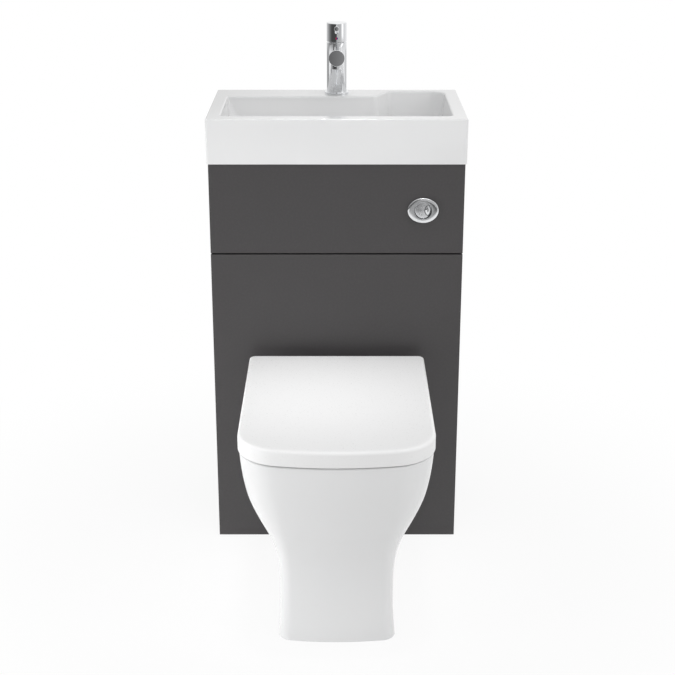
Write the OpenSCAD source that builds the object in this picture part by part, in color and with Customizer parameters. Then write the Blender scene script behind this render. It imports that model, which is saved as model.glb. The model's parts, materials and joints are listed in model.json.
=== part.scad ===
// Combined toilet and basin: a slim cabinet that hides a cistern, with a basin and
// a mixer tap on top and a back-to-wall pan in front. Millimetres, floor at z = 0,
// front towards -y, wall at +y, origin in the middle of the footprint.

/* [Cabinet] */
// Width of the cabinet
cab_w = 494; // [460:1:560]
// Height of the cabinet
cab_h = 800; // [780:1:850]
// Depth of the cabinet from its front to the wall
cab_d = 307; // [305:1:330]
// Thickness of the boards
board_t = 16; // [15:0.5:19]
// Height of the foot glides
glide_h = 3; // [2:0.5:10]
// Height of the upper front panel
upper_panel_h = 177.5; // [165:0.5:190]
// Shadow gap between the two front panels
groove_w = 3; // [2:0.5:6]
// Height of the rails
rail_h = 70; // [60:1:75]
// Height of the cistern shelf's top over the middle of the flush inlet
flush_rise = 110; // [103:1:115]
// Length of a side of a corner block
block_s = 18; // [16:0.5:24]

/* [Basin] */
// Width of the basin
basin_w = 500; // [500:1:560]
// Depth of the basin from front to back
basin_d = 310; // [308:1:330]
// Height of the basin
basin_h = 88; // [80:1:110]
// Radius of the upright outer corners
basin_corner_r = 4; // [2:0.5:12]
// Width of the rims at the two sides
side_rim = 27; // [20:1:40]
// Width of the rim at the front
front_rim = 30; // [20:1:36]
// Width of the rim behind the deep end
back_rim = 20; // [14:1:24]
// Depth of the tap ledge
ledge_d = 78; // [72:1:84]
// Distance from the middle to the front end of the ledge's slanted side
ledge_end = 81; // [70:1:110]
// How far the ledge's side slants
ledge_slant = 27; // [10:1:40]
// Depth of the bowl
well_depth = 72; // [60:1:76]
// Inward slope of the bowl's walls over their height
well_draft = 8; // [2:1:12]
// Thickness of the ledge and of the walls beside its hollow
basin_wall = 14; // [12:1:15]
// Diameter of the tap hole
tap_hole_d = 35; // [33:0.5:37]
// Diameter of the waste hole
waste_hole_d = 46; // [44:0.5:50]

/* [Waste] */
// Outer diameter of the waste's thread
waste_thread_d = 41; // [38:0.5:43]
// Diameter of the waste's flange
waste_flange_d = 64; // [60:1:70]
// Thickness of the waste's flange
waste_flange_t = 3; // [2:0.5:4]
// Length of the waste's tail under the bowl's floor
waste_tail = 71; // [68:1:80]
// Diameter of the plug
plug_d = 54; // [50:1:58]
// How far the plug rises
plug_travel = 8; // [6:0.5:10]
// Distance from the waste's end to the middle of the trap's outlet
trap_drop = 45; // [40:1:50]
// Diameter of the bottle trap
trap_d = 60; // [56:1:64]
// Diameter of the waste pipe
waste_pipe_d = 36; // [32:0.5:38]
// Distance from the side panel to the middle of the waste pipe's run to the wall
waste_side = 31; // [27:1:34]

/* [Tap] */
// Diameter of the tap's body
tap_d = 41; // [40:0.5:44]
// Height of the tap above the basin
tap_h = 144; // [138:1:160]
// Height of the handle's cap
cap_h = 38.7; // [37:0.1:42]
// Diameter of the base ring
tap_ring_d = 50; // [48:0.5:56]
// Thickness of the base ring
tap_ring_t = 4; // [3:0.5:6]
// Diameter of the spout
spout_d = 32; // [31:0.5:34]
// Reach of the spout from the tap's middle
spout_reach = 100; // [90:1:120]
// Height of the middle of the spout's end above the basin
spout_z = 87; // [84:0.5:88]
// Rise of the spout towards its end, in degrees
spout_rise = 11; // [6:1:12]
// Diameter of the aerator
aerator_d = 23; // [20:0.5:24]
// Diameter of the lever pin
lever_d = 10; // [8:0.5:11]
// Length of the lever pin outside the cap
lever_l = 40; // [30:1:60]
// Upward slope of the lever pin
lever_tilt = 15; // [10:1:20]
// Radius of the dome that the cap tilts on
dome_r = 15.5; // [15:0.1:15.8]
// How far the lever lifts
lift_angle = 22; // [15:1:22]
// Diameter of the tap's hoses
hose_d = 12; // [10:0.5:12]
// Distance from the side panel to the cold hose's drop
cold_side = 17; // [15:0.5:18]
// Distance between the two hoses' drops
hose_pitch = 28; // [27:0.5:29]
// Distance from the cistern shelf's top to the service valves' lower ends
valve_drop = 185; // [155:1:215]
// Diameter of the supply pipes
supply_d = 15; // [15:0.1:15.2]

/* [Cistern] */
// Clearance between the cistern's side and the middle of the hot hose's drop
cistern_side_gap = 16; // [14:1:20]
// Depth of the cistern
cistern_d = 120; // [116:1:122]
// Distance from the cabinet's top to the underside of the cistern's lid
tank_drop = 75; // [69:1:79]
// Wall of the cistern
cistern_wall = 3; // [2.5:0.5:4]
// Distance from the cistern's side to the middle of the fill valve
fill_side = 30; // [28:1:32]
// Diameter of the fill valve's body
fill_d = 28; // [26:0.5:30]
// Diameter of the float
float_d = 44; // [38:1:46]
// Length of the float's arm
arm_l = 66; // [64:1:68]
// Diameter of the flush pipe
flush_pipe_d = 44; // [40:0.5:46]
// Diameter of the flush valve's threaded tail
flush_tail_d = 56; // [54:0.5:60]
// Travel of the flush seal
seal_travel = 20; // [14:1:24]

/* [Flush button] */
// Distance from the cabinet's side to the middle of the button
button_side = 79.6; // [72:0.1:97]
// Distance from the cabinet's top to the button
button_drop = 90.4; // [85:0.1:100]
// Width of the oval bezel
bezel_w = 60.6; // [58:0.1:70]
// Height of the oval bezel
bezel_h = 49.9; // [48:0.1:56]
// How far the bezel stands out
bezel_t = 6; // [5:0.5:9]
// Diameter of the two buttons together
button_d = 32.6; // [30:0.1:34]
// Outer diameter of the bezel's threaded barrel
barrel_d = 38; // [37:0.1:40]

/* [Pan] */
// Projection of the pan and lid in front of the cabinet
pan_proj = 490; // [470:1:540]
// Height of the pan's rim
pan_h = 388; // [384:1:400]
// Width of the pan at the rim
pan_w = 342; // [336:1:360]
// Width of the foot at its narrowest
foot_w = 208; // [200:1:230]
// Projection of the foot
foot_proj = 407; // [390:1:420]
// Thickness of the ceramic
pan_wall = 12; // [10:0.5:13]
// Width of the bowl's mouth
bowl_w = 250; // [240:1:256]
// Height of the outlet's middle
outlet_z = 180; // [178:1:190]
// Outer diameter of the outlet
outlet_d = 102; // [98:0.5:104]
// Distance from the rim to the middle of the flush inlet
inlet_drop = 43; // [40:1:48]
// Diameter of the flush inlet
inlet_d = 56; // [54:0.5:58]
// Distance between the seat's two fixings
seat_pitch = 155; // [150:1:160]

/* [Seat and lid] */
// Width of the lid
lid_w = 346; // [340:1:362]
// Height of the lid's top above the rim
lid_h = 32; // [32:0.5:36]
// Thickness of the lid's top
lid_t = 5; // [4:0.5:5]
// Thickness of the lid's side wall
skirt_t = 4; // [3:0.5:5]
// Radius of the bow along the front edge
front_bow = 600; // [500:5:700]
// Radius of the front corners
front_corner = 82; // [72:1:90]
// Distance from the cabinet to the lid's back edge
lid_back = 29; // [29:0.5:32]
// Distance from the cabinet to the hinge axis
hinge_back = 45; // [45:0.5:48]
// Diameter of the hinge pins
hinge_pin_d = 6; // [5:0.5:8]
// Thickness of the seat
seat_t = 18.5; // [16:0.5:19]
// Height of the buffers under the seat
buffer_h = 3.5; // [3:0.5:4]

/* [Hidden] */
$fn = 64;

// Small sizes and clearances
fit = 0.3;
run_fit = 0.05;
cut = 1;

// Places that several pieces share
total_d = cab_d + pan_proj;
wall_y = total_d / 2;
front_y = wall_y - cab_d;
panel_back_y = front_y + board_t;
inner_x = cab_w / 2 - board_t;
basin_front_y = wall_y - basin_d;
basin_z = cab_h;
basin_top = cab_h + basin_h;
well_floor = basin_top - well_depth;
lower_top = cab_h - upper_panel_h - groove_w;
cold_x = inner_x - cold_side;
hot_x = cold_x - hose_pitch;
cistern_w = 2 * (hot_x - cistern_side_gap);
fill_x = cistern_w / 2 - fill_side;
inlet_z = pan_h - inlet_drop;
shelf_z = inlet_z + flush_rise;
waste_y = basin_front_y + front_rim + (basin_d - ledge_d - front_rim) / 2;
tap_y = wall_y - ledge_d / 2;

// Cabinet details
panel_gap = 5;
wall_screw_x = inner_x - 51;
wall_screw_r = 4;
block_h = 32;
block_low = 60;
block_gap = 20;
block_heights = [
    block_low, (block_low + lower_top) / 2,
    lower_top - rail_h / 2 - block_gap - block_h, cab_h - board_t - 2 * block_gap - block_h
];
block_hole_r = 2.2;
glide_inset = 40;
glide_d = board_t - 2;

// Basin and waste details
well_radii = [12, 14, 30, 12, 12, 8];
floor_blend = 16;
ledge_low = basin_top - basin_wall;
waste_low = well_floor - waste_tail;
waste_run_x = inner_x - waste_side;
trap_outlet_z = waste_low - trap_drop;
waste_bore_r = waste_thread_d / 2 - 4;
spider_z = well_floor - 46;
spider_h = 8;
spider_t = 3;
plug_stem_r = 4;
plug_guide_r = 7;
plug_t = 4;
plug_taper = 2;
plug_dish_r = 60;
plug_dish_depth = 0.8;
backnut_across = 56;
backnut_h = 12;
trap_collar = 10;
trap_below = 42;
trap_top = waste_low - trap_collar;
trap_low = trap_outlet_z - trap_below;
trap_neck = 22;
trap_nut_wall = 8;
top_nut_h = 20;
side_nut_h = 14;
trap_wall = 3;
cup_h = 26;
dip_gap = 10;
waste_bend = 45;

// Tap details
body_top = basin_top + tap_h - cap_h;
pivot_z = body_top;
tap_top = basin_top + tap_h;
cartridge_r = 16;
cartridge_low = body_top - 36;
carrier_r = 10;
carrier_low = pivot_z - 18;
dome_low = pivot_z - 12;
dome_wall = 2;
dome_hole_r = 10;
dome_gap = 0.4;
stem_w = 7;
fork_w = 3;
fork_d = 6;
foot_t = 6;
stem_pin_r = 1.5;
stem_top = pivot_z + 22;
lever_hold = 5;
lever_z = pivot_z + 22;
mark_z = pivot_z + 9;
mark_r = 2.5;
mark_t = 0.8;
waterway_r = 5;
aerator_y = spout_reach - 14;
aerator_axis_z = basin_top + spout_z - (spout_reach - aerator_y) * tan(spout_rise);
aerator_low = aerator_axis_z - spout_d / 2 / cos(spout_rise) - 4;
aerator_h = 13;
chamber_r = waterway_r + 2;
chamber_rise = waterway_r + 1;
tail_x = 9;
tail_r = 5;
tail_l = 16;
crimp_z = basin_top - 2;
hose_wall = 2.5;
hose_y = tap_y + 4;
waterway_end = spout_reach + hose_y - tap_y - tail_r - 2;
hose_bend = 18;
hot_run_z = cab_h - 43;
cold_run_z = cab_h - 22;
valve_z = shelf_z - valve_drop;
stud_back = 10;
stud_r = 4;
stud_hold = 10;
stud_l = 75;
washer_r = 22;
washer_t = 3;
valve_h = 60;
valve_d = 20;
valve_nut_d = 26;
valve_nut_h = 12;
spindle_boss_r = 5.5;
spindle_out = valve_d / 2 + 3;
slot_w = 1;
valve_socket = 18;
valve_bore_r = 5;
spindle_r = 3;
bracket_t = 3;
bracket_leg = 24;

// Cistern details
cistern_back_y = wall_y - board_t;
cistern_front_y = cistern_back_y - cistern_d;
cistern_y = cistern_back_y - cistern_d / 2;
cistern_lid_t = 8;
cistern_h = cab_h - tank_drop - shelf_z;
inlet_thread_r = 10.5;
inlet_thread_l = 28;
inlet_shank_r = 11.5;
groove_l = 3;
fill_flange_t = 4;
fork_z = 6;
arm_z = shelf_z + cistern_h - 55;
arm_off = 4;
arm_pin_r = 1.5;
arm_w = 7;
arm_t = 6;
fork_t = 3;
fill_bore_r = 6;
float_h = 55;
float_wall = 2;
flush_tail_l = 40;
seat_up = 10;
seal_r = flush_pipe_d / 2 + 3;
seal_t = 5;
post_r = 3;
post_ring_r = 30;
actuator_z = shelf_z + cistern_h - 40;
actuator_h = 16;
barb_l = 8;
barb_wall = 0.8;
overflow_r = 11;
overflow_top = shelf_z + cistern_h - seal_travel - 2;
backnut_d = 78;
tank_nut_h = 14;
flush_in = 36;
flush_bend = 60;

// Flush button and air hose details
button_z = cab_h - button_drop;
button_x = cab_w / 2 - button_side;
barrel_end_y = panel_back_y + 18;
housing_back_y = barrel_end_y + 26;
button_out = 3;
button_depth = 10;
button_gap = 0.4;
half_shift = 3.8;
half_r = 13;
half_margin = 2.2;
button_stem_r = 3;
piston_r = 5;
piston_y = barrel_end_y + 6;
air_r = 3.5;
air_bore_r = 2.3;
air_bend = 10;
air_turn_y = housing_back_y + 30;
air_over_z = cab_h - 52;
air_step = 10;
function air_side(i) = i == 0 ? -7 : 9.5;
function air_end_x(i) = i == 0 ? 18 : -18;

// Pan, seat and lid details
pan_front = pan_proj - 2;
foot_corner = 26;
pan_back_r = 5;
base_splay = 4;
base_splay_h = 0.15 * pan_h;
pan_edge = 3;
waist_z = 0.31 * pan_h;
hollow_z = pan_h - 143;
bowl_depth = 260;
bowl_back = 135;
rim_front = 45;
pocket_r = 20;
deck_low = pan_h - 18;
sump_z = pan_h - bowl_depth + 40;
weir_z = sump_z + 54;
trap_way_r = 38;
trap_start = 168;
trap_mouth = 218;
trap_bends = [150, 115, 60];
trap_end = 10;
trap_wall_out = 10;
trap_points = 40;
bend_swell = 1;
spigot_y = front_y + 45;
socket_l = 22;
connector_wall = 5;
collar_y = spigot_y - 8;
relief_l = 6;
bracket_v = 130;
bracket_l = 50;
bracket_h = 60;
bracket_foot = 40;
bracket_hole_in = 22;
bracket_hole_z = 40;
side_screw_r = 3;
side_head_r = 6;
side_head_t = 2.5;
floor_hole_r = 4;
seat_low = pan_h + buffer_h;
seat_top = seat_low + seat_t;
lid_top = pan_h + lid_h;
lid_under = lid_top - lid_t;
lid_low = pan_h + 2.5;
lid_back_r = 12;
hinge_z = lid_under - 9.5;
knuckle_r = 8;
knuckle_w = 14;
knuckle_in_x = 47.5;
knuckle_out_x = 93.5;
post_x0 = knuckle_in_x + knuckle_w + 1;
post_w = knuckle_out_x - 1 - post_x0;
seat_side_gap = 1.5;
seat_front_gap = 2;
seat_back = hinge_back + 14;
seat_hole_w = 220;
seat_hole_back = 150;
seat_rim_front = 66;
seat_stud_r = 4;
stud_low_z = pan_h - 33;
seat_nut_h = 9;
seat_nut_across = 24;
buffer_r = 7;
seat_buffer_places = [[pan_w / 2 - 25, 165], [pan_w / 2 - 39, 375]];
lid_buffer_places = [[pan_w / 2 - 29, 150], [pan_w / 2 - 33, 380]];
post_base_t = 3;
post_base_edge = 4;
post_back = 8.5;

// Points along a rounded corner at b, between the corners a and c of an outline
function unit(v) = v / norm(v);
function corner_arc(a, b, c, r, steps) =
    let (
        u = unit(a - b),
        v = unit(c - b),
        half = acos(u * v) / 2,
        middle = b + unit(u + v) * r / sin(half),
        first = b + u * r / tan(half) - middle,
        last = b + v * r / tan(half) - middle,
        from = atan2(first.y, first.x),
        sweep = atan2(last.y, last.x) - from,
        turn = sweep > 180 ? sweep - 360 : sweep < -180 ? sweep + 360 : sweep
    )
    [for (i = [0 : steps]) middle + r * [cos(from + turn * i / steps), sin(from + turn * i / steps)]];
function rounded_outline(corners, radii, steps) =
    let (last = len(corners) - 1)
    [for (i = [0 : last]) each corner_arc(
        corners[i == 0 ? last : i - 1], corners[i], corners[i == last ? 0 : i + 1], radii[i], steps)];

// A plan with a straight back, parallel sides and a bowed front, seen from above.
// Distances run forward from the cabinet's front. The points turn anticlockwise.
function bowed_half(w, front, back, bow, corner, back_r) =
    let (
        cx = w / 2 - corner,
        drop = sqrt((bow - corner) * (bow - corner) - cx * cx),
        cv = front - bow + drop,
        meet = atan2(drop, cx)
    )
    [
        for (i = [0 : 3]) let (a = -90 + 30 * i)
            [w / 2 - back_r + back_r * cos(a), back + back_r + back_r * sin(a)],
        for (i = [0 : 7]) let (a = meet * i / 7) [cx + corner * cos(a), cv + corner * sin(a)],
        for (i = [1 : 6]) let (a = meet + (90 - meet) * i / 6)
            [bow * cos(a), front - bow + bow * sin(a)]
    ];
function bowed_plan(w, front, back, bow, corner, back_r) =
    let (
        right = bowed_half(w, front, back, bow, corner, back_r),
        last = len(right) - 1
    )
    [
        for (i = [0 : last]) [-right[i].x, front_y - right[i].y],
        for (i = [1 : last]) [right[last - i].x, front_y - right[last - i].y]
    ];
function at_height(outline, z) = [for (p = outline) [p.x, p.y, z]];

// A closed solid through rings of equal length. A capped one starts with a face that
// looks down and ends with one that looks up. A looped one joins its last ring to its first.
module ring_solid(rings, looped = false) {
    n = len(rings[0]);
    count = len(rings);
    spans = looped ? count : count - 1;
    sides = [
        for (k = [0 : spans - 1], j = [0 : n - 1])
            let (
                a = k * n + j,
                b = k * n + (j + 1) % n,
                c = ((k + 1) % count) * n + (j + 1) % n,
                d = ((k + 1) % count) * n + j
            )
            each [[a, c, b], [a, d, c]]
    ];
    caps = looped ? [] : [
        [for (j = [0 : n - 1]) j],
        [for (j = [0 : n - 1]) (count - 1) * n + n - 1 - j]
    ];
    polyhedron([for (r = rings) each r], concat(sides, caps), convexity = 10);
}

// A round bar along straight runs, with bends of one radius between them
module bar_run(points, r, bend) {
    last = len(points) - 1;
    for (i = [0 : last - 1]) {
        a = points[i];
        b = points[i + 1];
        dir = unit(b - a);
        start = i == 0 ? 0 : bend * tan(turn_angle(points, i) / 2);
        stop = i == last - 1 ? 0 : bend * tan(turn_angle(points, i + 1) / 2);
        translate(a + dir * start)
            point_along(dir)
                cylinder(r = r, h = norm(b - a) - start - stop);
    }
    for (i = [1 : last - 1]) {
        u = unit(points[i] - points[i - 1]);
        v = unit(points[i + 1] - points[i]);
        angle = turn_angle(points, i);
        side = unit(v - u * (u * v));
        up = cross(u, side);
        middle = points[i] - u * bend * tan(angle / 2) + side * bend;
        multmatrix([
            [-side.x, u.x, -up.x, middle.x],
            [-side.y, u.y, -up.y, middle.y],
            [-side.z, u.z, -up.z, middle.z]
        ])
            rotate_extrude(angle = angle)
                translate([bend, 0])
                    circle(r = r);
    }
}
function turn_angle(points, i) =
    acos(unit(points[i] - points[i - 1]) * unit(points[i + 1] - points[i]));
module point_along(dir) {
    rotate([0, acos(dir.z), atan2(dir.y, dir.x)])
        children();
}
module tube_run(points, outer_r, inner_r, bend) {
    last = len(points) - 1;
    before = points[0] - unit(points[1] - points[0]) * cut;
    after = points[last] + unit(points[last] - points[last - 1]) * cut;
    longer = [before, for (i = [1 : last - 1]) points[i], after];
    difference() {
        bar_run(points, outer_r, bend);
        bar_run(longer, inner_r, bend);
    }
}

// Round pieces along an axis, from one end to the other
module ring_z(outer_r, inner_r, z0, z1) {
    difference() {
        translate([0, 0, z0])
            cylinder(r = outer_r, h = z1 - z0);
        translate([0, 0, z0 - cut])
            cylinder(r = inner_r, h = z1 - z0 + 2 * cut);
    }
}
module rod_y(r, y0, y1) {
    translate([0, y0, 0])
        rotate([-90, 0, 0])
            cylinder(r = r, h = y1 - y0);
}
module rod_x(r, x0, x1) {
    translate([x0, 0, 0])
        rotate([0, 90, 0])
            cylinder(r = r, h = x1 - x0);
}
module hex_nut_z(across, bore_r, z0, z1) {
    difference() {
        translate([0, 0, z0])
            cylinder(d = across / cos(30), h = z1 - z0, $fn = 6);
        translate([0, 0, z0 - cut])
            cylinder(r = bore_r, h = z1 - z0 + 2 * cut);
    }
}
module mirrored_x() {
    children();
    mirror([1, 0, 0])
        children();
}

// Cabinet
module side_panel() {
    translate([inner_x, panel_back_y, glide_h])
        cube([board_t, wall_y - panel_back_y, cab_h - glide_h]);
}
module left_side_panel() {
    color("dimgray")
        mirror([1, 0, 0])
            side_panel();
}
module right_side_panel() {
    color("dimgray")
        side_panel();
}
module front_lower_panel() {
    color("dimgray")
        difference() {
            translate([-cab_w / 2, front_y, glide_h])
                cube([cab_w, board_t, lower_top - glide_h]);
            translate([0, 0, outlet_z])
                rod_y(outlet_d / 2 + panel_gap, front_y - cut, panel_back_y + cut);
            translate([0, 0, inlet_z])
                rod_y(flush_pipe_d / 2 + panel_gap, front_y - cut, panel_back_y + cut);
        }
}
module front_upper_panel() {
    color("dimgray")
        difference() {
            translate([-cab_w / 2, front_y, cab_h - upper_panel_h])
                cube([cab_w, board_t, upper_panel_h]);
            translate([button_x, 0, button_z])
                rod_y(barrel_d / 2 + fit, front_y - cut, panel_back_y + cut);
        }
}
module front_rails() {
    color("gray") {
        translate([-inner_x, panel_back_y, cab_h - board_t])
            cube([2 * inner_x, rail_h, board_t]);
        translate([-inner_x, panel_back_y, lower_top - rail_h / 2])
            cube([2 * inner_x, board_t, rail_h]);
    }
}
module back_rails() {
    color("gray")
        for (z = [glide_h, cab_h - rail_h])
            difference() {
                translate([-inner_x, wall_y - board_t, z])
                    cube([2 * inner_x, board_t, rail_h]);
                for (x = [-wall_screw_x, wall_screw_x])
                    translate([x, 0, z + rail_h / 2])
                        rod_y(wall_screw_r, wall_y - board_t - cut, wall_y + cut);
            }
}
module cistern_shelf() {
    color("gray")
        difference() {
            translate([-inner_x, cistern_front_y, shelf_z - board_t])
                cube([2 * inner_x, wall_y - cistern_front_y, board_t]);
            translate([0, cistern_y, shelf_z - board_t - cut])
                cylinder(d = backnut_d + 2 * panel_gap, h = board_t + 2 * cut);
            translate([fill_x, cistern_y, shelf_z - board_t - cut])
                cylinder(d = fill_d + 2 * panel_gap, h = board_t + 2 * cut);
            for (x = [hot_x, cold_x])
                translate([x, hose_y, shelf_z - board_t - cut])
                    cylinder(r = hose_d / 2 + fit, h = board_t + 2 * cut);
        }
}
module corner_blocks() {
    color("white")
        mirrored_x()
            for (z = block_heights)
                translate([inner_x - block_s, panel_back_y, z])
                    difference() {
                        cube([block_s, block_s, block_h]);
                        translate([block_s / 2, 0, block_h / 3])
                            rod_y(block_hole_r, -cut, block_s + cut);
                        translate([0, block_s / 2, block_h * 2 / 3])
                            rod_x(block_hole_r, -cut, block_s + cut);
                    }
}
module foot_glides() {
    color("black")
        mirrored_x()
            for (y = [panel_back_y + glide_inset, wall_y - glide_inset])
                translate([inner_x + board_t / 2, y, 0])
                    cylinder(d = glide_d, h = glide_h);
}

// Basin
function well_corners(inset) =
    let (
        x = basin_w / 2 - side_rim - inset,
        deep = ledge_d - back_rim,
        lean = (sqrt(ledge_slant * ledge_slant + deep * deep) - ledge_slant) / deep * inset
    )
    [
        [-x, basin_front_y + front_rim + inset],
        [x, basin_front_y + front_rim + inset],
        [x, wall_y - back_rim - inset],
        [ledge_end + ledge_slant + lean, wall_y - back_rim - inset],
        [ledge_end + lean, wall_y - ledge_d - inset],
        [-x, wall_y - ledge_d - inset]
    ];
function well_ring(inset, z) =
    at_height(rounded_outline(well_corners(inset), well_radii, 5), z);
module basin() {
    color("white")
        difference() {
            rounded_block(basin_w, basin_front_y, wall_y, basin_z, basin_top, basin_corner_r);
            ring_solid([
                well_ring(well_draft + floor_blend, well_floor),
                well_ring(well_draft + floor_blend * 0.3, well_floor + floor_blend * 0.3),
                well_ring(well_draft, well_floor + floor_blend),
                well_ring(0, basin_top),
                well_ring(0, basin_top + cut)
            ]);
            ledge_hollow();
            translate([0, tap_y, basin_z])
                cylinder(d = tap_hole_d, h = basin_h + cut);
            translate([0, waste_y, basin_z - cut])
                cylinder(d = waste_hole_d, h = basin_h);
        }
}
module ledge_hollow() {
    x0 = -basin_w / 2 + basin_wall;
    y0 = wall_y - ledge_d + basin_wall;
    translate([x0, y0, basin_z - cut])
        cube([ledge_end - basin_wall - x0, wall_y - basin_wall - y0, basin_h - basin_wall + cut]);
}
module rounded_block(w, y0, y1, z0, z1, r) {
    translate([0, 0, z0])
        linear_extrude(z1 - z0)
            union() {
                translate([-w / 2 + r, y0])
                    square([w - 2 * r, y1 - y0]);
                translate([-w / 2, y0 + r])
                    square([w, y1 - y0 - 2 * r]);
                for (x = [-w / 2 + r, w / 2 - r], y = [y0 + r, y1 - r])
                    translate([x, y])
                        circle(r = r);
            }
}

// Basin waste
module waste_body() {
    color("silver")
        translate([0, waste_y, 0]) {
            difference() {
                union() {
                    translate([0, 0, well_floor])
                        cylinder(d = waste_flange_d, h = waste_flange_t);
                    translate([0, 0, waste_low])
                        cylinder(d = waste_thread_d, h = waste_tail);
                }
                translate([0, 0, waste_low - cut])
                    cylinder(r = waste_bore_r, h = waste_tail + waste_flange_t + 2 * cut);
            }
            difference() {
                union() {
                    translate([-waste_bore_r - 1, -spider_t / 2, spider_z])
                        cube([2 * waste_bore_r + 2, spider_t, spider_h]);
                    translate([-spider_t / 2, -waste_bore_r - 1, spider_z])
                        cube([spider_t, 2 * waste_bore_r + 2, spider_h]);
                    translate([0, 0, spider_z])
                        cylinder(r = plug_guide_r, h = spider_h);
                }
                translate([0, 0, spider_z - cut])
                    cylinder(r = plug_stem_r + run_fit, h = spider_h + 2 * cut);
            }
        }
}
module waste_plug() {
    rest = well_floor + waste_flange_t;
    stem_low = spider_z - plug_travel - 2;
    color("silver")
        translate([0, waste_y, 0]) {
            difference() {
                translate([0, 0, rest + fit])
                    cylinder(d1 = plug_d, d2 = plug_d - 2 * plug_taper, h = plug_t);
                translate([0, 0, rest + fit + plug_t + plug_dish_r])
                    sphere(r = plug_dish_r + plug_dish_depth);
            }
            translate([0, 0, stem_low])
                cylinder(r = plug_stem_r, h = rest + fit + 1 - stem_low);
        }
}
module waste_backnut() {
    color("silver")
        translate([0, waste_y, 0])
            hex_nut_z(backnut_across, waste_thread_d / 2, basin_z - backnut_h, basin_z);
}
module trap_body() {
    color("white")
        difference() {
            union() {
                translate([0, waste_y, trap_low])
                    cylinder(d = trap_d, h = trap_top - trap_low);
                translate([0, waste_y, trap_top])
                    cylinder(d = waste_thread_d + trap_nut_wall, h = waste_low - trap_top);
                translate([0, waste_y, trap_outlet_z])
                    rod_x(waste_pipe_d / 2 + 3, -trap_d / 2 - trap_neck, 0);
            }
            difference() {
                translate([0, waste_y, trap_low - cut])
                    cylinder(r = trap_d / 2 - trap_wall, h = trap_top - trap_low - trap_wall + cut);
                translate([0, waste_y, trap_low - cut])
                    cylinder(r = waste_bore_r + 2, h = trap_top - trap_low + 2 * cut);
            }
            translate([0, waste_y, trap_low - 2 * cut])
                cylinder(r = waste_bore_r, h = waste_low - trap_low + 4 * cut);
            translate([0, waste_y, trap_low - 2 * cut])
                cylinder(r = trap_d / 2 - trap_wall, h = dip_gap);
            translate([0, waste_y, trap_outlet_z])
                rod_x(waste_pipe_d / 2, -trap_d / 2 - trap_neck - cut, -trap_d / 2 + trap_wall + cut);
        }
}
module trap_cup() {
    color("white")
        translate([0, waste_y, 0])
            difference() {
                translate([0, 0, trap_low - cup_h])
                    cylinder(d = trap_d, h = cup_h);
                translate([0, 0, trap_low - cup_h + trap_wall])
                    cylinder(r = trap_d / 2 - trap_wall, h = cup_h);
            }
}
module trap_nuts() {
    color("white") {
        translate([0, waste_y, 0])
            ring_z(waste_thread_d / 2 + trap_nut_wall, waste_thread_d / 2,
                   waste_low, waste_low + top_nut_h);
        translate([-trap_d / 2 - trap_neck, waste_y, trap_outlet_z])
            rotate([0, -90, 0])
                ring_z(waste_pipe_d / 2 + trap_nut_wall, waste_pipe_d / 2, 0, side_nut_h);
    }
}
module waste_pipe() {
    start = [-trap_d / 2 - trap_neck + 10, waste_y, trap_outlet_z];
    turn = [-waste_run_x, waste_y, trap_outlet_z];
    end = [-waste_run_x, wall_y, trap_outlet_z];
    color("white")
        tube_run([start, turn, end], waste_pipe_d / 2, waste_pipe_d / 2 - 2, waste_bend);
}

// Tap
// A rod on the spout's axis, between two level distances behind the spout's end
module along_spout(r, first, last) {
    translate([0, -spout_reach, basin_top + spout_z])
        rotate([-spout_rise, 0, 0])
            rod_y(r, first / cos(spout_rise), last / cos(spout_rise));
}
module tap_body() {
    color("silver")
        translate([0, tap_y, 0])
            difference() {
                union() {
                    translate([0, 0, basin_top])
                        cylinder(d = tap_ring_d, h = tap_ring_t);
                    translate([0, 0, basin_top])
                        cylinder(d = tap_d, h = body_top - basin_top);
                    along_spout(spout_d / 2, 0, spout_reach);
                }
                translate([0, 0, cartridge_low])
                    cylinder(r = cartridge_r + run_fit, h = body_top - cartridge_low + cut);
                along_spout(waterway_r, spout_reach - aerator_y, waterway_end);
                translate([0, -aerator_y, aerator_low])
                    cylinder(r = aerator_d / 2, h = aerator_h);
                translate([0, -aerator_y, aerator_low])
                    cylinder(r = chamber_r, h = aerator_axis_z + chamber_rise - aerator_low);
                for (x = [-tail_x, tail_x])
                    translate([x, hose_y - tap_y, basin_top - cut])
                        cylinder(r = tail_r, h = cartridge_low - basin_top + 2 * cut);
                translate([0, -stud_back, basin_top - cut])
                    cylinder(r = stud_r, h = stud_hold + cut);
            }
}
module tap_aerator() {
    color("gainsboro")
        translate([0, tap_y - aerator_y, 0])
            difference() {
                translate([0, 0, aerator_low])
                    cylinder(d = aerator_d, h = aerator_h);
                translate([0, 0, aerator_low - cut])
                    cylinder(r = aerator_d / 2 - 2, h = 4);
                for (a = [0 : 60 : 300])
                    rotate(a)
                        translate([aerator_d / 5, 0, aerator_low])
                            cylinder(r = 1.2, h = aerator_h + cut);
            }
}
module tap_stud() {
    color("silver")
        translate([0, tap_y - stud_back, basin_top + stud_hold - stud_l])
            cylinder(r = stud_r, h = stud_l);
}
module tap_backing_washer() {
    slot_r = hose_d / 2 + 1;
    color("gray")
        difference() {
            translate([0, tap_y, ledge_low - washer_t])
                cylinder(r = washer_r, h = washer_t);
            translate([0, tap_y - stud_back, ledge_low - washer_t - cut])
                cylinder(r = stud_r + fit, h = washer_t + 2 * cut);
            for (x = [-tail_x, tail_x])
                translate([x, hose_y, ledge_low - washer_t - cut])
                    cylinder(r = slot_r, h = washer_t + 2 * cut);
            translate([-tail_x, hose_y - slot_r, ledge_low - washer_t - cut])
                cube([2 * tail_x, 2 * slot_r, washer_t + 2 * cut]);
        }
}
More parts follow.
